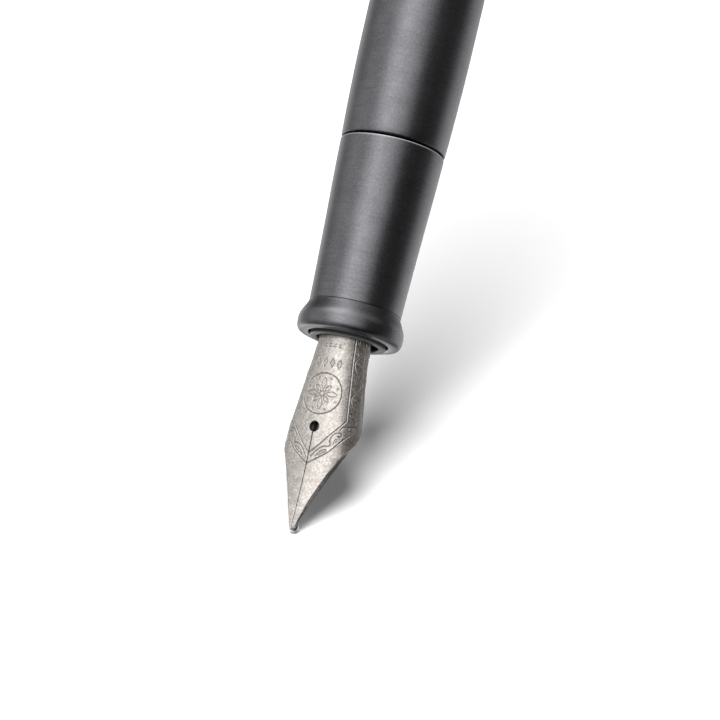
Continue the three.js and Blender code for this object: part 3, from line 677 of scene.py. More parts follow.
# depth, steps between knots, knots (q, tau)
BAND_STEMS = [
    # S-shaped stem of the V with a hooked end
    (0.95, 9, [
        (0.05, 0.05), (0.14, -0.34), (0.25, -0.42), (0.33, -0.12), (0.385, 0.30), (0.43, 0.18),
        (0.465, -0.30), (0.54, -0.58), (0.64, -0.56), (0.705, -0.18), (0.695, 0.30),
        (0.645, 0.34), (0.635, 0.02),
    ]),
    # leaves under the stem and at the corner
    (0.85, 7, [(0.13, 0.42), (0.20, 0.16), (0.28, 0.30), (0.31, 0.56), (0.23, 0.60), (0.13, 0.42)]),
    (0.7, 6, [(0.47, 0.55), (0.54, 0.22), (0.58, 0.42), (0.53, 0.62)]),
    (0.9, 8, [
        (0.74, -0.50), (0.82, -0.62), (0.90, -0.25), (0.955, 0.30), (0.90, 0.58), (0.84, 0.34),
        (0.875, 0.05),
    ]),
    # open vine up the side
    (0.85, 12, [
        (1.02, 0.35), (1.07, 0.60), (1.13, 0.30), (1.19, -0.45), (1.26, -0.62), (1.33, -0.15),
        (1.39, 0.50), (1.46, 0.62), (1.53, 0.10), (1.59, -0.50), (1.66, -0.60), (1.73, -0.05),
        (1.79, 0.52), (1.86, 0.55), (1.93, -0.10),
    ]),
]
SIDE_SCROLLS = [(1.085, -0.30, 1), (1.27, 0.34, -1), (1.66, 0.34, -1)]  # q, tau, hand
SCROLL_RADIUS, SCROLL_TURNS, SCROLL_STEPS = 0.36, 0.95, 30
SIDE_LENGTH, SIDE_HALF_WIDTH = 10.3, 0.66  # millimetres to one unit of q and of tau
SIDE_LEAVES = [(1.37, -0.45), (1.47, -0.40), (1.76, -0.45), (1.88, -0.40)]  # q, tau

ROUNDEL_Z, ROUNDEL_R = 15.95, 2.38
PETAL_START, LONG_PETAL, SHORT_PETAL = 0.38, 1.86, 1.35  # radii
ROUNDEL_DOTS_R, ROUNDEL_DOT = 1.95, 0.09  # radius of the circle of dots, and of a dot


def band(side, q, tau):
    """Points (s, z) of a border band."""
    lines = []
    for angles, heights in (BAND_INNER, BAND_OUTER):
        z = np.interp(q, (0, 1, 2), heights)
        s = nib_radius(z) * np.radians(np.interp(q, (0, 1, 2), angles))
        lines.append(np.array([side * s, z]))
    return (lines[0] * (1 - tau) / 2 + lines[1] * (1 + tau) / 2).T


def stem(side, knots, steps):
    """A Catmull-Rom curve through knots of the band."""
    knots = np.array(knots, float)
    knots = np.vstack([2 * knots[0] - knots[1], knots, 2 * knots[-1] - knots[-2]])
    points = []
    for before, start, end, after in zip(knots, knots[1:], knots[2:], knots[3:]):
        for t in np.linspace(0, 1, steps, endpoint=False):
            square = (2 * before - 5 * start + 4 * end - after) * t * t
            cube = (3 * start - before - 3 * end + after) * t**3
            points.append(0.5 * (2 * start + (end - before) * t + square + cube))
    points.append(knots[-2])
    return band(side, *np.array(points).T)


def scroll(side, q, tau, hand):
    """A spiral of the band that winds into its centre."""
    f = np.arange(SCROLL_STEPS + 1) / SCROLL_STEPS
    angle = hand * (PI / 2 + 2 * PI * SCROLL_TURNS * f)
    radius = SCROLL_RADIUS * (1 - f) ** 0.8 + 0.055 * f
    across = tau + radius * np.sin(angle) / SIDE_HALF_WIDTH
    return band(side, q + radius * np.cos(angle) / SIDE_LENGTH, np.clip(across, -0.93, 0.93))


def circle(s, z, radius, count):
    angle = np.linspace(0, 2 * PI, count)
    return np.column_stack([s + radius * np.cos(angle), z + radius * np.sin(angle)])


def band_strokes(side):
    strokes = []
    for tau, first in ((-1, 0.012), (1, 0.01)):
        for q in (np.linspace(first, 1, 60), np.linspace(1, 1.99, 90)):
            strokes.append((band(side, q, tau), 1.0))
    strokes += [(stem(side, knots, steps), depth) for depth, steps, knots in BAND_STEMS]
    strokes += [(scroll(side, q, tau, hand), 0.85) for q, tau, hand in SIDE_SCROLLS]
    for q, tau in SIDE_LEAVES:
        tip = (q - 0.03, tau)
        knots = [tip, (q, tau * 1.45), (q + 0.03, tau), (q, tau * 0.6), tip]
        strokes.append((stem(side, knots, 6), 0.6))
    return strokes


def roundel_strokes():
    """A ring with an eight-petal rosette, and a dot between each two petals."""
    strokes = [
        (circle(0, ROUNDEL_Z, ROUNDEL_R, 220), 1.1),
        (circle(0, ROUNDEL_Z, 0.30, 40), 1.0),
    ]
    t = np.linspace(0, 1, 26)
    for k in range(8):
        end = LONG_PETAL if k % 2 == 0 else SHORT_PETAL
        radius = PETAL_START + (end - PETAL_START) * t
        for way in (-1, 1):
            bulge = way * 0.30 * np.sin(PI * t) ** 0.9 * (1 - 0.35 * t)
            angle = k * PI / 4 + bulge + PI / 2
            petal = [radius * np.cos(angle), ROUNDEL_Z + radius * np.sin(angle)]
            strokes.append((np.column_stack(petal), 0.75))
    for k in range(8):
        angle = (k + 0.5) * PI / 4 + PI / 2
        s = ROUNDEL_DOTS_R * math.cos(angle)
        z = ROUNDEL_Z + ROUNDEL_DOTS_R * math.sin(angle)
        strokes.append((circle(s, z, ROUNDEL_DOT, 14), 0.8))
    return strokes


def row_strokes():
    """A row of lozenges over the roundel, and a row of paired dashes above it."""
    strokes = []
    for s in (-1.35, -0.45, 0.45, 1.35):
        z = 19.6 - 0.05 * s * s
        for way in (-1, 1):
            strokes.append(([(s, z + 0.52), (s + way * 0.27, z), (s, z - 0.52)], 0.9))
        strokes.append(([(s - 0.06, z), (s + 0.06, z)], 0.8))
    for s in (-0.9, -0.3, 0.3, 0.9):
        for half, z, depth in ((0.16, 21.5, 0.7), (0.10, 21.8, 0.5)):
            strokes.append(([(s - half, z), (s + half, z)], depth))
    return strokes


def engraving():
    """Closely spaced points (s, z) along every stroke on the flattened sheet, and depths."""
    points, depths = [], []
    for stroke, depth in band_strokes(-1) + band_strokes(1) + roundel_strokes() + row_strokes():
        s, z = np.array(stroke, float).T
        share = np.abs(s) / np.interp(z, CROSS_Z, CROSS["round_half"])
        line = np.stack([np.sign(s) * cross_at("moved", share, z), z], axis=1)
        for a, b in zip(line[:-1], line[1:]):
            count = max(1, int(np.linalg.norm(b - a) / 0.02))
            for i in range(count):
                points.append(a + (b - a) * i / count)
                depths.append(depth)
        points.append(line[-1])
        depths.append(depth)
    return points, depths


# ------------------------------------------------------------------ nib: mesh
BLOCK = 6  # fine cells along each side of a coarse one
COLUMNS = 217  # fine grid lines from the crown to the edge
ENGRAVING_DEPTH = 0.052
# a block's sides: first corner, step along, and the neighbour across, each as (row, column)
BLOCK_SIDES = [
    ((0, 0), (0, 1), (-1, 0)), ((0, 1), (1, 0), (0, 1)),
    ((1, 1), (0, -1), (1, 0)), ((1, 0), (-1, 0), (0, -1)),
]


def nib_stations():
    """z of the grid's rows, with the last gap divided to make whole blocks."""
    z = np.concatenate([
        np.linspace(0.30, 7.3, 71)[:-1],
        np.linspace(7.3, 23.5, 427)[:-1],
        np.linspace(23.5, 35.5, 31),
    ])
    extra = -(len(z) - 1) % BLOCK
    return np.concatenate([z[:-1], np.linspace(z[-2], z[-1], extra + 2)[1:]])


def cut_hole(side, s, z):
    """Drop the cells inside the breather hole and move the grid round it on to its circle."""
    rows, columns = s.shape
    middle_s, middle_z = (s[:-1, :-1] + s[1:, 1:]) / 2, (z[:-1, :-1] + z[1:, 1:]) / 2
    gone = np.hypot(middle_s, middle_z - HOLE_Z) < HOLE_R
    touched, kept = np.zeros(s.shape, bool), np.zeros(s.shape, bool)
    for j in (0, 1):
        for i in (0, 1):
            corners = slice(j, rows - 1 + j), slice(i, columns - 1 + i)
            touched[corners] |= gone
            kept[corners] |= ~gone
    rim = touched & kept
    scale = HOLE_R / np.maximum(np.hypot(s, z - HOLE_Z), 1e-6)
    new_s = np.where(rim, s * scale, s)
    new_z = np.where(rim, HOLE_Z + (z - HOLE_Z) * scale, z)
    # below the hole, the rim's crown vertex stays on the slit's wall
    at_slit = rim & (z < HOLE_Z)
    at_slit[:, 1:] = False
    new_s[at_slit] = side * SLIT_AT_HOLE
    new_z[at_slit] = HOLE_Z - math.sqrt(HOLE_R**2 - SLIT_AT_HOLE**2)
    return new_s, new_z, gone


def rounded(distance, radius):
    """Drop of a rounded rim at a distance from the edge."""
    distance = np.clip(distance, 0.0, radius)
    return radius - np.sqrt(np.maximum(0, radius * radius - (radius - distance) ** 2))


def engraved(s, z, tree, depths):
    """Share of the engraving depth at each vertex: a groove with a slight burr beside it."""
    cut = np.zeros_like(s)
    for j, i in zip(*np.nonzero((z > 7.4) & (z < 23.6))):
        _, k, distance = tree.find((s[j, i], z[j, i], 0))
        if distance < 0.26:
            groove = math.exp(-((distance / 0.062) ** 2))
            burr = 0.16 * math.exp(-(((distance - 0.13) / 0.045) ** 2))
            cut[j, i] = (groove - burr) * depths[k]
    return cut


def nib_half(side, stations, tree, depths):
    """The two skins of one half on the fine grid; skin 0 is the top and 1 the underside."""
    rows = stations[:, None]
    half = np.interp(rows, CROSS_Z, CROSS["half"])
    height = station(NIB, 3, rows)
    # the slit is open at the breather hole and nearly closed at the point
    slit_half = np.interp(rows, [0.5, 2.0, 8.0, 12.3], [0.020, 0.026, 0.040, SLIT_AT_HOLE])
    slit_half = np.where(rows > HOLE_Z, 0.0, slit_half)
    u = np.linspace(0, 1, COLUMNS)
    spread = u - 0.5 * np.sin(2 * PI * u) / (2 * PI)
    s = (slit_half + (half - slit_half) * spread) * side
    s, z, gone = cut_hole(side, s, np.repeat(rows, COLUMNS, axis=1))

    from_edge = np.abs(half - np.abs(s))
    from_hole = np.abs(np.hypot(s, z - HOLE_Z) - HOLE_R)
    from_slit = np.where(z < HOLE_Z, np.abs(np.abs(s) - slit_half), 9.0)
    # ground thinner over the pellet
    thick = np.interp(rows, [0.30, 1.3, 2.2], [0.14, 0.24, SHEET])
    drop = np.maximum(rounded(from_hole, 0.07), rounded(from_slit, 0.035))
    drop = np.maximum(rounded(from_edge, 0.31 * thick), drop)
    under = np.maximum(rounded(from_edge, 0.25 * thick), rounded(from_hole, 0.04))
    cut = engraved(s, z, tree, depths)
    bevel = station(BEVEL, 1, rows) * smoothstep((np.abs(s) / half - 0.72) / 0.28)

    # stained on the underside round the hole and along the slit, and darker along the edge
    edge_stain = 0.62 * np.exp(-((from_edge / 0.16) ** 2))
    edge_stain = edge_stain * np.interp(rows, [0.6, 2.0, 11.0, 14.0], [0, 1, 1, 0.4])
    underside_darkening = np.exp(-(((np.hypot(s, z - HOLE_Z) - HOLE_R) / 0.10) ** 2))
    underside_darkening = np.maximum(underside_darkening, edge_stain)
    slit_stain = np.exp(-(((np.abs(s) - slit_half) / 0.08) ** 2))
    underside_darkening = np.maximum(underside_darkening, np.where(z < HOLE_Z, slit_stain, 0))

    skins = []
    for reach, inset in ((0, drop + ENGRAVING_DEPTH * cut), (bevel, thick - under)):
        share = (np.abs(s) + reach) / half
        turn = cross_at("turn", share, rows)
        x = side * (cross_at("x", share, rows) - inset * np.sin(turn))
        y = -(height - cross_at("sag", share, rows) - inset * np.cos(turn))
        skins.append(np.stack([x, y, z], axis=-1))
    # the top skin takes painted shade in the engraving; the underside takes the darkening above
    stains = (np.maximum(0.0, cut), 1.5 * underside_darkening)
    return {"skins": skins, "stains": stains, "gone": gone, "cut": cut, "drop": drop}


class NibShell:
    """Collects the nib's vertices and faces, with coarse blocks where the sheet is plain."""

    def __init__(self, stations, halves):
        self.stations, self.halves = stations, halves
        self.verts, self.stain, self.faces, self.index = [], [], [], {}

    def vertex(self, side, skin, j, i):
        if i == 0 and self.stations[j] > HOLE_Z:
            side = 1  # above the hole both halves share the crown line
        key = (side, skin, j, i)
        if key not in self.index:
            self.index[key] = len(self.verts)
            self.verts.append(self.halves[side]["skins"][skin][j, i])
            self.stain.append(self.halves[side]["stains"][skin][j, i])
        return self.index[key]

    def face(self, side, corners, flip):
        loop = [self.vertex(side, *corner) for corner in corners]
        self.faces.append(loop[::-1] if flip else loop)

    def wall(self, side, start, end, flip):
        """A face between the two skins."""
        self.face(side, [(0, *start), (0, *end), (1, *end), (1, *start)], flip)

    def fine_blocks(self, side, skin):
        """Which blocks are cut finely, inside a border that counts as fine."""
        half = self.halves[side]
        rows, columns = (n // BLOCK for n in half["gone"].shape)
        fine = np.ones((rows + 2, columns + 2), bool)
        for j in range(rows):
            for i in range(columns):
                top, left = j * BLOCK, i * BLOCK
                cells = slice(top, top + BLOCK), slice(left, left + BLOCK)
                corners = slice(top, top + BLOCK + 1), slice(left, left + BLOCK + 1)
                relief = np.ptp(half["drop"][corners])
                if skin == 0:
                    shaped = np.abs(half["cut"][corners]).max() > 0.004 or relief > 1e-4
                else:
                    shaped = relief > 1e-3 and i == columns - 1
                fine[j + 1, i + 1] = half["gone"][cells].any() or shaped
        return fine

    def add_skin(self, side, skin):
        gone = self.halves[side]["gone"]
        fine = self.fine_blocks(side, skin)
        flip = (side == 1) != (skin == 1)
        for bj in range(fine.shape[0] - 2):
            for bi in range(fine.shape[1] - 2):
                j0, i0 = bj * BLOCK, bi * BLOCK
                if fine[bj + 1, bi + 1]:
                    for j in range(j0, j0 + BLOCK):
                        for i in range(i0, i0 + BLOCK):
                            if not gone[j, i]:
                                cell = [(j, i), (j, i + 1), (j + 1, i + 1), (j + 1, i)]
                                self.face(side, [(skin, *corner) for corner in cell], flip)
                    continue
                loop = []
                for (cj, ci), (dj, di), (nj, ni) in BLOCK_SIDES:
                    # a side shared with a fine block takes all of its vertices
                    count = BLOCK if fine[bj + 1 + nj, bi + 1 + ni] else 1
                    for m in range(count):
                        loop.append((skin, j0 + cj * BLOCK + dj * m, i0 + ci * BLOCK + di * m))
                self.face(side, loop, flip)

    def add_walls(self, side):
        gone = self.halves[side]["gone"]
        rows, columns = gone.shape
        right = side == 1
        for j in range(rows):
            self.wall(side, (j, columns), (j + 1, columns), right)  # outer edge
            if self.stations[j + 1] <= HOLE_Z and not gone[j, 0]:
                self.wall(side, (j, 0), (j + 1, 0), not right)  # slit
        for i in range(columns):
            self.wall(side, (0, i), (0, i + 1), not right)
            self.wall(side, (rows, i), (rows, i + 1), right)
        for j, i in zip(*np.nonzero(gone)):  # breather hole
            if not gone[j, i + 1]:
                self.wall(side, (j, i + 1), (j + 1, i + 1), not right)
            if i > 0 and not gone[j, i - 1]:
                self.wall(side, (j, i), (j + 1, i), right)
            if not gone[j - 1, i]:
                self.wall(side, (j, i), (j, i + 1), right)
            if not gone[j + 1, i]:
                self.wall(side, (j + 1, i), (j + 1, i + 1), not right)


def make_nib():
    points, depths = engraving()
    tree = KDTree(len(points))
    for i, (s, z) in enumerate(points):
        tree.insert((s, z, 0), i)
    tree.balance()
    stations = nib_stations()
    halves = {side: nib_half(side, stations, tree, depths) for side in (-1, 1)}
    shell = NibShell(stations, halves)
    for side in (-1, 1):
        shell.add_skin(side, 0)
        shell.add_skin(side, 1)
        shell.add_walls(side)
    build("nib", "nib_unit", "nib_titanium", shell.verts, shell.faces, sharp=50,
          attributes={"cut": shell.stain})


make_nib()

# ------------------------------------------------------------------ tipping
# An ovoid pellet under the tines, in two halves ground flat along the slit.
TIP_Y, TIP_R, TIP_LENGTH = -2.36, 0.54, 1.15
TIP_GAP = 0.022  # from the middle plane to each flat face
TIP_ROWS, TIP_SEGMENTS = 26, 28


def make_tip(node, side):
    verts, faces = [], []
    for i in range(TIP_ROWS + 1):
        a = PI * i / TIP_ROWS
        z = TIP_LENGTH * (1 - math.cos(a)) / 2
        r = TIP_R * max(0.0, math.sin(a)) ** 0.85
        r = {0: 0.05, TIP_ROWS: 0.16}.get(i, r)  # blunt ends
        for k in range(TIP_SEGMENTS + 1):
            b = -PI / 2 + PI * k / TIP_SEGMENTS
            x = TIP_GAP + max(0.0, r * math.cos(b)) * 0.95
            # flat where it is welded under the tines
            y = max(TIP_Y + r * math.sin(b), -2.865 + 0.02 * z)
            verts.append((side * x, y, z))
    n = TIP_SEGMENTS + 1
    for i in range(TIP_ROWS):
        for k in range(TIP_SEGMENTS):
            faces.append([i * n + k, i * n + k + 1, (i + 1) * n + k + 1, (i + 1) * n + k])
    # flat face along the slit, and the two ends
    for i in range(TIP_ROWS):
        faces.append([i * n + n - 1, i * n, (i + 1) * n, (i + 1) * n + n - 1])
    faces.append(list(range(n))[::-1])
    faces.append([TIP_ROWS * n + k for k in range(n)])
    verts = np.array(verts)
    build(node, "nib_unit", "tipping_alloy", verts, outward(verts, faces), sharp=50)


make_tip("tipping_left", -1)
make_tip("tipping_right", 1)

# ------------------------------------------------------------------ feed
# z, half width, and heights of the top and the bottom towards the crown
FEED = np.array([
    (4.55, 0.42, 2.62, -1.85), (4.75, 0.68, 2.70, -1.62), (5.1, 0.84, 2.75, -1.42),
    (6.0, 1.05, 2.78, -1.0), (7.5, 1.4, 2.8, -0.25), (9.0, 1.8, 2.81, 0.55),
    (10.5, 2.25, 2.82, 1.4), (12.0, 2.6, 2.83, 2.15), (13.5, 2.8, 2.84, 2.65),
    (15.0, 2.84, 2.84, 2.84), (36.0, 2.84, 2.84, 2.84),
])
INK_POST = [(0.66, 36.0), (0.62, 36.06), (0.62, 40.45), (0.5, 40.6)]  # radius, z
GROOVE = 0.30  # width of the gaps between the fins
GROOVE_STARTS = [13.3 + 0.62 * i for i in range(14)]
GROOVE_FLOOR_R = 1.95
FEED_SEGMENTS = 120


def feed_ring(z, theta):
    """x and height towards the crown round the feed at z."""
    width, top, bottom = (float(station(FEED, column, z)) for column in (1, 2, 3))
    middle = (top - bottom) / 2
    x, y = width * np.cos(theta), middle + (top + bottom) / 2 * np.sin(theta)
    if any(start < z < start + GROOVE for start in GROOVE_STARTS):
        # fins stand on the sides and below; a web stays under the nib and along the keel
        radius, angle = np.hypot(x, y), np.arctan2(y, x)
        below_web = np.clip((0.35 - np.sin(angle)) / 0.12, 0, 1)
        off_keel = np.clip((np.abs(angle + PI / 2) - 0.30) / 0.05, 0, 1)
        share = below_web * off_keel
        sunk = radius * (1 - share) + np.minimum(radius, GROOVE_FLOOR_R) * share
        scale = sunk / np.maximum(radius, 1e-6)
        x, y = x * scale, y * scale
    ink_channel = (np.abs(x) < 0.16) & (y > max(1.0, middle))  # under the slit
    y = np.where(ink_channel, y - 0.55, y)
    air_channel = (np.abs(x) < 0.45) & (y < 0) & (z > 13.0)  # flat, along the keel
    return x, np.where(air_channel, y + 0.22, y)


def make_feed():
    heights = [*np.linspace(4.55, 5.2, 10), *np.linspace(5.35, 13.1, 40)]
    for start in GROOVE_STARTS:
        end = start + GROOVE
        heights += [start - 0.006, start + 0.006, start + GROOVE / 2, end - 0.006, end + 0.006]
    heights += [*np.linspace(22.3, 36.0, 20)]
    theta = np.arange(FEED_SEGMENTS) * 2 * PI / FEED_SEGMENTS  # a quarter turn is the crown
    verts = []
    for z in sorted(heights):
        verts += [(x, -y, z) for x, y in zip(*feed_ring(z, theta))]
    # the rear face steps down to the ink post
    for radius, z in INK_POST:
        verts += [(radius * math.cos(a), -radius * math.sin(a), z) for a in theta]
    n = FEED_SEGMENTS
    last = len(verts) - n
    faces = []
    for a in range(0, last, n):
        for j in range(n):
            k = (j + 1) % n
            faces.append([a + j, a + k, a + n + k, a + n + j])
    faces.append([last + j for j in range(n)])
    faces.append(list(range(n))[::-1])
    verts = np.array(verts)
    build("feed", "nib_unit", "black_plastic", verts, outward(verts, faces), sharp=35)


make_feed()

# ------------------------------------------------------------------ threads
THREAD_PITCH = 1.2
HOUSING_THREAD = {"offset": 0.3, "span": (25.2, 30.0)}
BARREL_OFFSET = 0.2
DRIVE_LEAD, DRIVE_Z = 3.0, 40.0


def thread(root, height, offset, span, fade):
    """Shape of a right-hand thread with slightly flattened crests."""

    def shape(radii, z, theta):
        phase = ((z - offset) / THREAD_PITCH - theta / (2 * PI)) % 1.0
        wave = np.clip((1 - np.abs(phase * 2 - 1) - 0.08) / 0.8, 0, 1)
        return root + height * wave * window(z, *span, fade)

    return shape


def drive_wave(z, theta, crest, flank):
    """Share of the drive screw's height: flat crest, straight flanks, flat root."""
    phase = ((z - DRIVE_Z) / DRIVE_LEAD - theta / (2 * PI)) % 1.0
    return np.clip((crest / 2 + flank - np.abs(phase - 0.5)) / flank, 0, 1)


def across_flats(radii, theta, half_width):
    """Radii held inside two flats that face +X and -X."""
    return np.minimum(radii, half_width / np.maximum(np.abs(np.cos(theta)), 1e-3))


# ------------------------------------------------------------------ nib housing
housing_thread = thread(root=3.58, height=0.27, fade=0.5, **HOUSING_THREAD)
HOUSING = [
    (3.62, 22.86, 0.03), (3.74, 22.72, 0.03), (4.28, 22.72, 0.03, 4), (4.41, 22.85, 0.04, 4),
    (4.41, 24.05, 0.05), (4.5, 24.12, 0.03), (4.5, 24.2, 0.03), (3.58, 24.2, 0.08),
    cut_edge(3.58, 24.9, 64, housing_thread), (3.58, 30.3, 0.03), (3.75, 30.5, 0.05),
    (3.75, 37.0, 0.08), (3.35, 37.4, 0.08), (1.3, 37.4, 0.1), (1.3, 41.2, 0.06), (1.1, 41.5, 0.04),
    (0.78, 41.5, 0.04), (0.78, 36.2, 0.05), (3.31, 36.2, 0.05), (3.31, 24.95, 0.05),
    (3.62, 24.6, 0.05),
]


def housing_marks(radius, z):
    """Painted highlights on the front rims, and painted shade on the flange's outer wall where it
    sits in the gap.
    """
    return {
        "rub": rim_highlight_share(radius, z, (4.35, 22.78, 0.08), (3.68, 22.79, 0.05)),
        "dull": ((radius > 4.38) & (z > 22.84) & (z < 24.3)).astype(float),
    }


turned("nib_housing", "nib_unit", "black_plastic", HOUSING, 128, marks=housing_marks)

# ------------------------------------------------------------------ grip section
# radius, z of the rolled lip: flat front face, full round outside, straight flank to the waist
LIP = np.array([
    (5.40, 23.10), (5.60, 23.13), (5.79, 23.22), (5.94, 23.38), (6.045, 23.60), (6.10, 23.88),
    (6.12, 24.2), (6.12, 24.55), (6.08, 24.86), (6.005, 25.15), (5.90, 25.4), (5.77, 25.66),
    (5.64, 25.92), (5.52, 26.17), (5.42, 26.39), (5.355, 26.56),
])
GRIP = [(5.337, 26.8), (5.42, 29.6), (5.57, 33.7), (5.75, 38.0), (5.93, 42.0), (6.06, 45.8)]


def lip_run(count=44):
    along = np.concatenate([[0], np.cumsum(np.hypot(*np.diff(LIP, axis=0).T))])
    places = np.linspace(0, along[-1], count)
    return [tuple(float(catmull(along, LIP[:, c], x)) for c in (0, 1)) for x in places]


tenon_thread = thread(root=4.44, height=0.31, offset=BARREL_OFFSET, span=(47.8, 53.8), fade=0.5)
section_thread = thread(root=3.96, height=0.26, fade=0.4, **HOUSING_THREAD)
SECTION = [
    (4.64, 23.22, 0.03), (4.76, 23.1, 0.04),
    *lip_run(),
    # crease at the waist
    (5.345, 26.60, 0.012, 2), (5.25, 26.64, 0.02), (5.25, 26.70, 0.02), (5.335, 26.75, 0.02),
    *smooth_run(GRIP, 46),
    (6.04, 46.0, 0.07), (5.2, 46.0, 0.03), (4.45, 46.0, 0.1),
    cut_edge(4.44, 47.6, 84, tenon_thread), (4.36, 53.85, 0.06), (4.2, 54.0, 0.05),
    (3.95, 54.0, 0.06), (3.95, 30.6, 0.05),
    cut_edge(3.96, 30.4, 66, section_thread), (3.96, 24.9, 0.02), (3.95, 24.25, 0.04),
    (4.64, 24.25, 0.05),
]


def section_marks(radius, z):
    """Painted highlights on the rims, painted shade on the mouth's inner wall, and a painted
    highlight with lower roughness along the lip.
    """
    return {
        "rub": rim_highlight_share(radius, z, (4.74, 23.11, 0.07), (6.04, 45.97, 0.05)),
        "recess": ((radius < 4.69) & (z > 23.16) & (z < 30.9)).astype(float),
        "crest": np.exp(-(((z - 25.15) / 0.38) ** 2)) * (radius > 5.5),
    }


turned("grip_section", "section", "anodised_dark", SECTION, 160, marks=section_marks)


def torus(radius, tube, z, segments, ring):
    verts, faces = [], []
    for i in range(segments):
        a = 2 * PI * i / segments
        for j in range(ring):
            b = 2 * PI * j / ring
            r = radius + tube * math.cos(b)
            verts.append((r * math.cos(a), r * math.sin(a), z + tube * math.sin(b)))
    for i in range(segments):
        this, following = i * ring, (i + 1) % segments * ring
        for j in range(ring):
            k = (j + 1) % ring
            faces.append([this + j, following + j, following + k, this + k])
    return verts, faces


o_ring = torus(radius=4.78, tube=0.31, z=46.72, segments=96, ring=20)
build("section_o_ring", "section", "seal_rubber", *o_ring)

# ------------------------------------------------------------------ barrel
BARREL_SIDE = [
    (6.09, 46.45), (6.25, 50.0), (6.45, 58.0), (6.5, 66.0), (6.48, 80.0), (6.32, 98.0),
    (6.02, 114.0), (5.68, 127.3),
]
BARREL = [
    (6.02, 46.3, 0.05), *smooth_run(BARREL_SIDE, 90), (5.62, 127.5, 0.05),
    (3.34, 127.5, 0.04), (3.34, 121.6, 0.04), (3.75, 121.0, 0.04), (4.25, 120.2, 0.3),
    (4.25, 55.5, 0.08), (5.5, 55.5, 0.08), (5.5, 46.3, 0.05),
]
turned("barrel", "barrel", "anodised_dark", BARREL, 160)

SLEEVE_ENDS = (47.9, 55.4)
sleeve_thread = thread(root=4.82, height=0.32, offset=BARREL_OFFSET, span=SLEEVE_ENDS, fade=0.35)
SLEEVE = [
    cut_edge(4.82, SLEEVE_ENDS[1], 100, sleeve_thread), (4.82, SLEEVE_ENDS[0], 0.03),
    (5.4, SLEEVE_ENDS[0], 0.08), (5.46, 48.1, 0.04), (5.46, SLEEVE_ENDS[1], 0.05),
]
turned("barrel_thread_sleeve", "barrel", "sleeve_brass", SLEEVE, 128)

TAIL_DOME = [
    (5.65, 127.75), (5.57, 129.5), (5.37, 131.4), (5.02, 132.8), (4.62, 133.6), (4.35, 133.87),
]
TAIL_PLUG = [
    (0, 122.5), (3.2, 122.5, 0.15), (3.3, 122.8, 0.05), (3.3, 127.54, 0.04), (5.58, 127.54, 0.06),
    *smooth_run(TAIL_DOME, 24), (4.1, 134.0, 0.12, 4), (0, 134.0),
]
turned("tail_plug", "barrel", "anodised_dark", TAIL_PLUG, 160, closed=False)

# ------------------------------------------------------------------ converter
INK_TUBE = [
    (1.35, 38.0, 0.08), (2.9, 38.0, 0.12), (3.4, 38.8, 0.3, 5), (3.4, 78.0, 0.05),
    (2.8, 78.0, 0.05), (2.8, 42.2, 0.25, 5), (1.35, 41.7, 0.05),
]
turned("ink_tube", "converter", "clear_plastic", INK_TUBE, 128)

FERRULE = [
    (3.45, 72.0, 0.05), (3.62, 72.0, 0.05), (3.75, 72.2, 0.06),
    (3.75, 74.2, 0.06), (3.6, 74.3, 0.05), (3.6, 74.8, 0.05), (3.75, 74.9, 0.06),
    (3.75, 92.6, 0.06), (3.62, 92.75, 0.05), (3.62, 93.05, 0.05), (3.75, 93.2, 0.06),
    (3.75, 95.8, 0.12), (3.55, 96.0, 0.06), (2.75, 96.0, 0.06), (2.75, 95.2, 0.04),
    (3.45, 95.2, 0.04),
]
turned("converter_ferrule", "converter", "plated_metal", FERRULE, 128)

BUSH_BORE, BUSH_FLATS = 1.9, 1.48  # radius, and half the distance across the flats


def bush_shape(radii, z, theta):
    return across_flats(BUSH_BORE, theta, BUSH_FLATS)


BUSH = [
    cut_edge(BUSH_BORE, 80.9, 6, bush_shape), cut_edge(BUSH_BORE, 78.1, 1, bush_shape),
    (3.4, 78.1, 0.1), (3.4, 80.9, 0.1),
]
turned("guide_bush", "converter", "grey_plastic", BUSH, 144)

RETAINING_RING = [(2.65, 82.6, 0.08), (3.4, 82.6, 0.08), (3.4, 83.8, 0.08), (2.65, 83.8, 0.08)]
turned("retaining_ring", "converter", "plated_metal", RETAINING_RING, 112)


# ------------------------------------------------------------------ knob
def nut_shape(radii, z, theta):
    return 1.45 + 0.5 * drive_wave(z, theta, crest=0.36, flank=0.12)


SPINDLE = [
    cut_edge(1.5, 81.1, 44, nut_shape), cut_edge(1.5, 86.0, 1, nut_shape), (2.15, 86.05, 0.05),
    (2.15, 110.0, 0.06), (2.6, 110.0, 0.08), (2.6, 82.4, 0.06), (3.35, 82.4, 0.08),
    (3.35, 81.1, 0.08),
]
turned("drive_spindle", "knob", "grey_plastic", SPINDLE, 112)

KNURL_COUNT, KNURL_PITCH, KNURL_DEPTH = 42, 0.62, 0.12


def knurl_shape(radii, z, theta):
    """Two crossing sets of V grooves."""
    turn = theta * KNURL_COUNT / (2 * PI)
    climb = (z - 97.6) / KNURL_PITCH * 0.5
    grooves = [1 - np.abs((turn + way * climb) % 1.0 - 0.5) * 5.0 for way in (1, -1)]
    groove = np.clip(np.maximum(*grooves), 0, 1)
    return radii - KNURL_DEPTH * groove * window(z, 97.7, 108.1, 0.2)


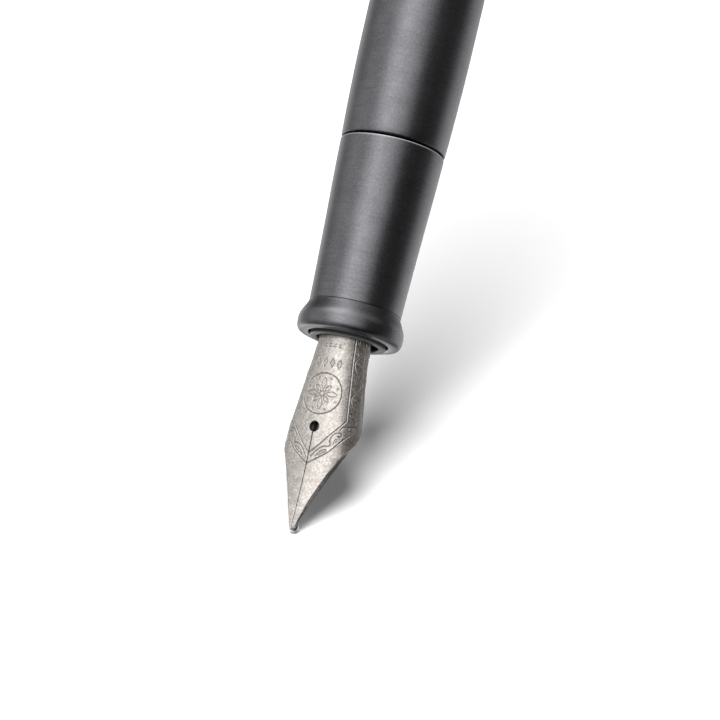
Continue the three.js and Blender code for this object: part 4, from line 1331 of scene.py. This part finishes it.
KNOB = [
    (0.0, 110.2), (2.64, 110.2, 0.06), (2.64, 96.4, 0.08), (3.5, 96.4, 0.06), (3.7, 96.6, 0.06),
    (3.7, 97.3, 0.06), (3.5, 97.42, 0.04), (3.5, 97.58, 0.03),
    cut_edge(3.68, 97.66, 150, knurl_shape), (3.68, 108.14), (3.5, 108.2, 0.03),
    (3.5, 108.36, 0.03), (3.7, 108.48, 0.06), (3.7, 110.2, 0.35, 5), (3.2, 110.9, 0.3, 5),
    (2.4, 111.15, 0.3, 4), (0.0, 111.2),
]
turned("twist_knob", "knob", "plated_metal", KNOB, 252, closed=False, sharp=30)


# ------------------------------------------------------------------ piston
def rod_shape(radii, z, theta):
    screw = 1.35 + 0.45 * drive_wave(z, theta, crest=0.26, flank=0.12)
    return across_flats(screw, theta, 1.42)


ROD = [
    (0, 44.8), (1.2, 44.8, 0.15), (1.5, 45.1, 0.15), (1.5, 46.2, 0.08), (0.95, 46.4, 0.05),
    (0.95, 47.7, 0.05), (2.2, 47.7, 0.08), (2.2, 48.3, 0.08), (1.36, 49.3, 0.05),
    cut_edge(1.36, 49.4, 300, rod_shape), cut_edge(1.36, 85.7, 1, rod_shape),
    (1.1, 85.8), (0, 85.8),
]
turned("piston_rod", "piston", "grey_plastic", ROD, 96, closed=False, sharp=30)

PISTON_SEAL = [
    (0, 43.1), (1.6, 43.0, 0.4, 5), (2.55, 43.12, 0.1), (2.75, 43.5, 0.12, 5),
    (2.75, 43.95, 0.15, 5), (2.42, 44.5, 0.25, 5), (2.42, 46.1, 0.25, 5), (2.75, 46.65, 0.15, 5),
    (2.75, 47.1, 0.12, 5), (2.55, 47.6, 0.1), (1.0, 47.6, 0.05), (1.0, 46.44, 0.04),
    (1.54, 46.24, 0.04), (1.54, 45.06, 0.04), (1.22, 44.75, 0.04), (0, 44.75),
]
turned("piston_seal", "piston", "seal_rubber", PISTON_SEAL, 112, closed=False)

# ------------------------------------------------------------------ camera
CAMERA_DISTANCE = 400.0
LENS, SENSOR = 179.0, 36
SEEN_POINT = Vector((0, -2.51, 0.1))  # a point of the nib's tip
SEEN_AT = Vector((-7.51955, -19.10615, -CAMERA_DISTANCE))  # its place in the camera's frame

# the pen's directions in the camera's frame
axis_seen = Vector((
    math.sin(LEAN) * math.cos(TILT), math.cos(LEAN) * math.cos(TILT), -math.sin(TILT),
))
right_seen = Vector((math.cos(LEAN), -math.sin(LEAN), 0))
face_seen = right_seen.cross(axis_seen)
x_seen = right_seen * math.cos(ROLL) + face_seen * math.sin(ROLL)
y_seen = -(face_seen * math.cos(ROLL) - right_seen * math.sin(ROLL))
to_part = Matrix((x_seen, y_seen, axis_seen))  # camera frame to part frame


def make_camera():
    data = bpy.data.cameras.new("camera")
    data.sensor_width = SENSOR
    data.lens = LENS
    data.clip_start, data.clip_end = 0.01, 50
    camera = bpy.data.objects.new("camera", data)
    bpy.context.scene.collection.objects.link(camera)
    place = SEEN_POINT - to_part @ SEEN_AT
    camera.matrix_world = Matrix.Translation(place * MM) @ to_part.to_4x4()
    bpy.context.scene.camera = camera


make_camera()

# ------------------------------------------------------------------ floor
FLOOR_ELEVATION = math.radians(32)  # how far the camera looks down on it
FLOOR_HALF = 1.6  # metres
FLOOR_GAP = 0.03
# z, share of the pellet's radius near its front end
TIP_FRONT = [(0.0, 0.1), (0.04, 0.36), (0.12, 0.62), (0.25, 0.85), (0.4, 0.97)]

floor_up = to_part @ Vector((0, math.cos(FLOOR_ELEVATION), math.sin(FLOOR_ELEVATION)))
floor_right = to_part @ Vector((1, 0, 0))
floor_back = floor_up.cross(floor_right)


def make_floor_material():
    """White to rays from the camera's direction and clear to all others."""
    material = bpy.data.materials.new("floor_white")
    g = Graph(material)
    output, mixer = g.node("OutputMaterial"), g.node("MixShader")
    clear, white = g.node("BsdfTransparent"), g.node("BsdfDiffuse")
    white.inputs["Color"].default_value = (0.93, 0.93, 0.935, 1)
    to_camera = to_part @ Vector((0, 0, 1))
    facing = g.dot(g.node("NewGeometry").outputs["Incoming"], to_camera)
    g.put(mixer.inputs[0], g.math("GREATER_THAN", facing, 0.975))
    g.put(mixer.inputs[1], clear.outputs[0])
    g.put(mixer.inputs[2], white.outputs[0])
    g.put(output.inputs[0], mixer.outputs[0])
    return material


def make_floor():
    pellet = [
        Vector((TIP_R * k * math.cos(a), TIP_Y + TIP_R * k * math.sin(a), z))
        for a in np.linspace(0, 2 * PI, 40)
        for z, k in TIP_FRONT
    ]
    lowest = min(pellet, key=lambda point: point.dot(floor_up))
    origin = (lowest - floor_up * FLOOR_GAP) * MM
    signs = ((-1, -1), (1, -1), (1, 1), (-1, 1))
    corners = [origin + (floor_right * a + floor_back * b) * FLOOR_HALF for a, b in signs]
    mesh = bpy.data.meshes.new("floor")
    mesh.from_pydata([tuple(corner) for corner in corners], [], [(0, 1, 2, 3)])
    floor = bpy.data.objects.new("floor", mesh)
    bpy.context.scene.collection.objects.link(floor)
    if mesh.polygons[0].normal.dot(floor_up) < 0:
        mesh.flip_normals()
    mesh.materials.append(make_floor_material())
    floor.visible_diffuse = False
    floor.visible_glossy = False
    floor.visible_transmission = False
    floor.visible_shadow = False


make_floor()

# ------------------------------------------------------------------ world
# Brightness of the room round the pen, every 30 degrees from behind it, over its left side,
# past the camera and its right side: towards the tip, level with the pen, towards the tail.
ROOM = {
    "env_low": [1.1, 2.06, 0.4, 0.26, 0.42, 0.27, 0.03, 0.03, 0.03, 0.33, 0.5, 0.05],
    "env_mid": [0.21, 1.03, 0.49, 0.97, 0.86, 2.69, 1.65, 0.08, 0.05, 0.15, 1.03, 0.95],
    "env_high": [0.03, 0.03, 0.14, 0.38, 1.64, 2.04, 0.97, 0.41, 0.21, 0.04, 0.2, 0.13],
}
ROOM_SCALE = 6.0  # brings the brightnesses into a ramp's 0 to 1
BACKDROP = (1.7, 1.7, 1.7)  # what the camera sees directly
FILL = (0.24, 0.24, 0.244)  # what lights diffuse surfaces


def make_world():
    world = bpy.data.worlds.new("studio")
    bpy.context.scene.world = world
    g = Graph(world)
    direction = g.node("TexCoord").outputs["Generated"]
    rightward = g.dot(direction, to_part @ right_seen)
    # 0 at the camera, negative on its left
    bearing = g.math("ARCTAN2", rightward, g.dot(direction, to_part @ face_seen))
    around = g.math("ADD", g.math("DIVIDE", bearing, 2 * PI), 0.5)
    rise = g.dot(direction, Vector((0, 0, 1)))
    low = g.remap(rise, span=(-0.05, -0.45), to=(0.0, 1.0))
    high = g.remap(rise, span=(0.2, 0.65), to=(0.0, 1.0))
    level = g.math("SUBTRACT", g.math("SUBTRACT", 1.0, low), high)
    total = None
    for name, weight in (("env_low", low), ("env_mid", level), ("env_high", high)):
        values = ROOM[name] + ROOM[name][:1]
        stops = [(k / (len(values) - 1), (v / ROOM_SCALE,) * 3) for k, v in enumerate(values)]
        part = g.math("MULTIPLY", g.ramp(around, stops, name=name), weight)
        total = part if total is None else g.math("ADD", total, part)
    total = g.math("MULTIPLY", total, ROOM_SCALE)
    room = g.node("CombineXYZ")
    for socket in room.inputs:
        g.put(socket, total)
    rays = g.node("LightPath").outputs
    light = g.mix(rays["Is Diffuse Ray"], room.outputs[0], FILL)
    background = g.node("Background")
    g.put(background.inputs[0], g.mix(rays["Is Camera Ray"], light, BACKDROP))
    background.inputs[1].default_value = 1.0
    g.put(g.node("OutputWorld").inputs[0], background.outputs[0])


make_world()

# ------------------------------------------------------------------ key light
# Each is a run for one millimetre up the pen, along the floor's axes.
PEN_RIGHT, PEN_BACK, PEN_UP = 0.2216, 0.6686, 0.7099
SHADOW_RIGHT, SHADOW_BACK = 0.30, 0.75
KEY_TARGET = Vector((0, 0, 12)) * MM
KEY_DISTANCE = 0.9  # metres
KEY_HALF_ANGLE = math.radians(20)  # of the disk as seen from its target
KEY_POWER = 12.6


def make_key_light():
    sideways = floor_right * (PEN_RIGHT - SHADOW_RIGHT) / PEN_UP
    backwards = floor_back * (PEN_BACK - SHADOW_BACK) / PEN_UP
    direction = (floor_up + sideways + backwards).normalized()
    data = bpy.data.lights.new("key", "AREA")
    data.shape = "DISK"
    data.size = 2 * KEY_DISTANCE * math.tan(KEY_HALF_ANGLE)
    data.energy = KEY_POWER
    key = bpy.data.objects.new("key", data)
    bpy.context.scene.collection.objects.link(key)
    key.location = KEY_TARGET + direction * KEY_DISTANCE
    key.rotation_mode = "QUATERNION"
    key.rotation_quaternion = (-direction).to_track_quat("-Z", "Y")
    key.visible_glossy = False  # the metal mirrors only the room that the world draws


make_key_light()

bpy.context.scene.view_settings.view_transform = "Standard"
bpy.context.scene.view_settings.look = "None"
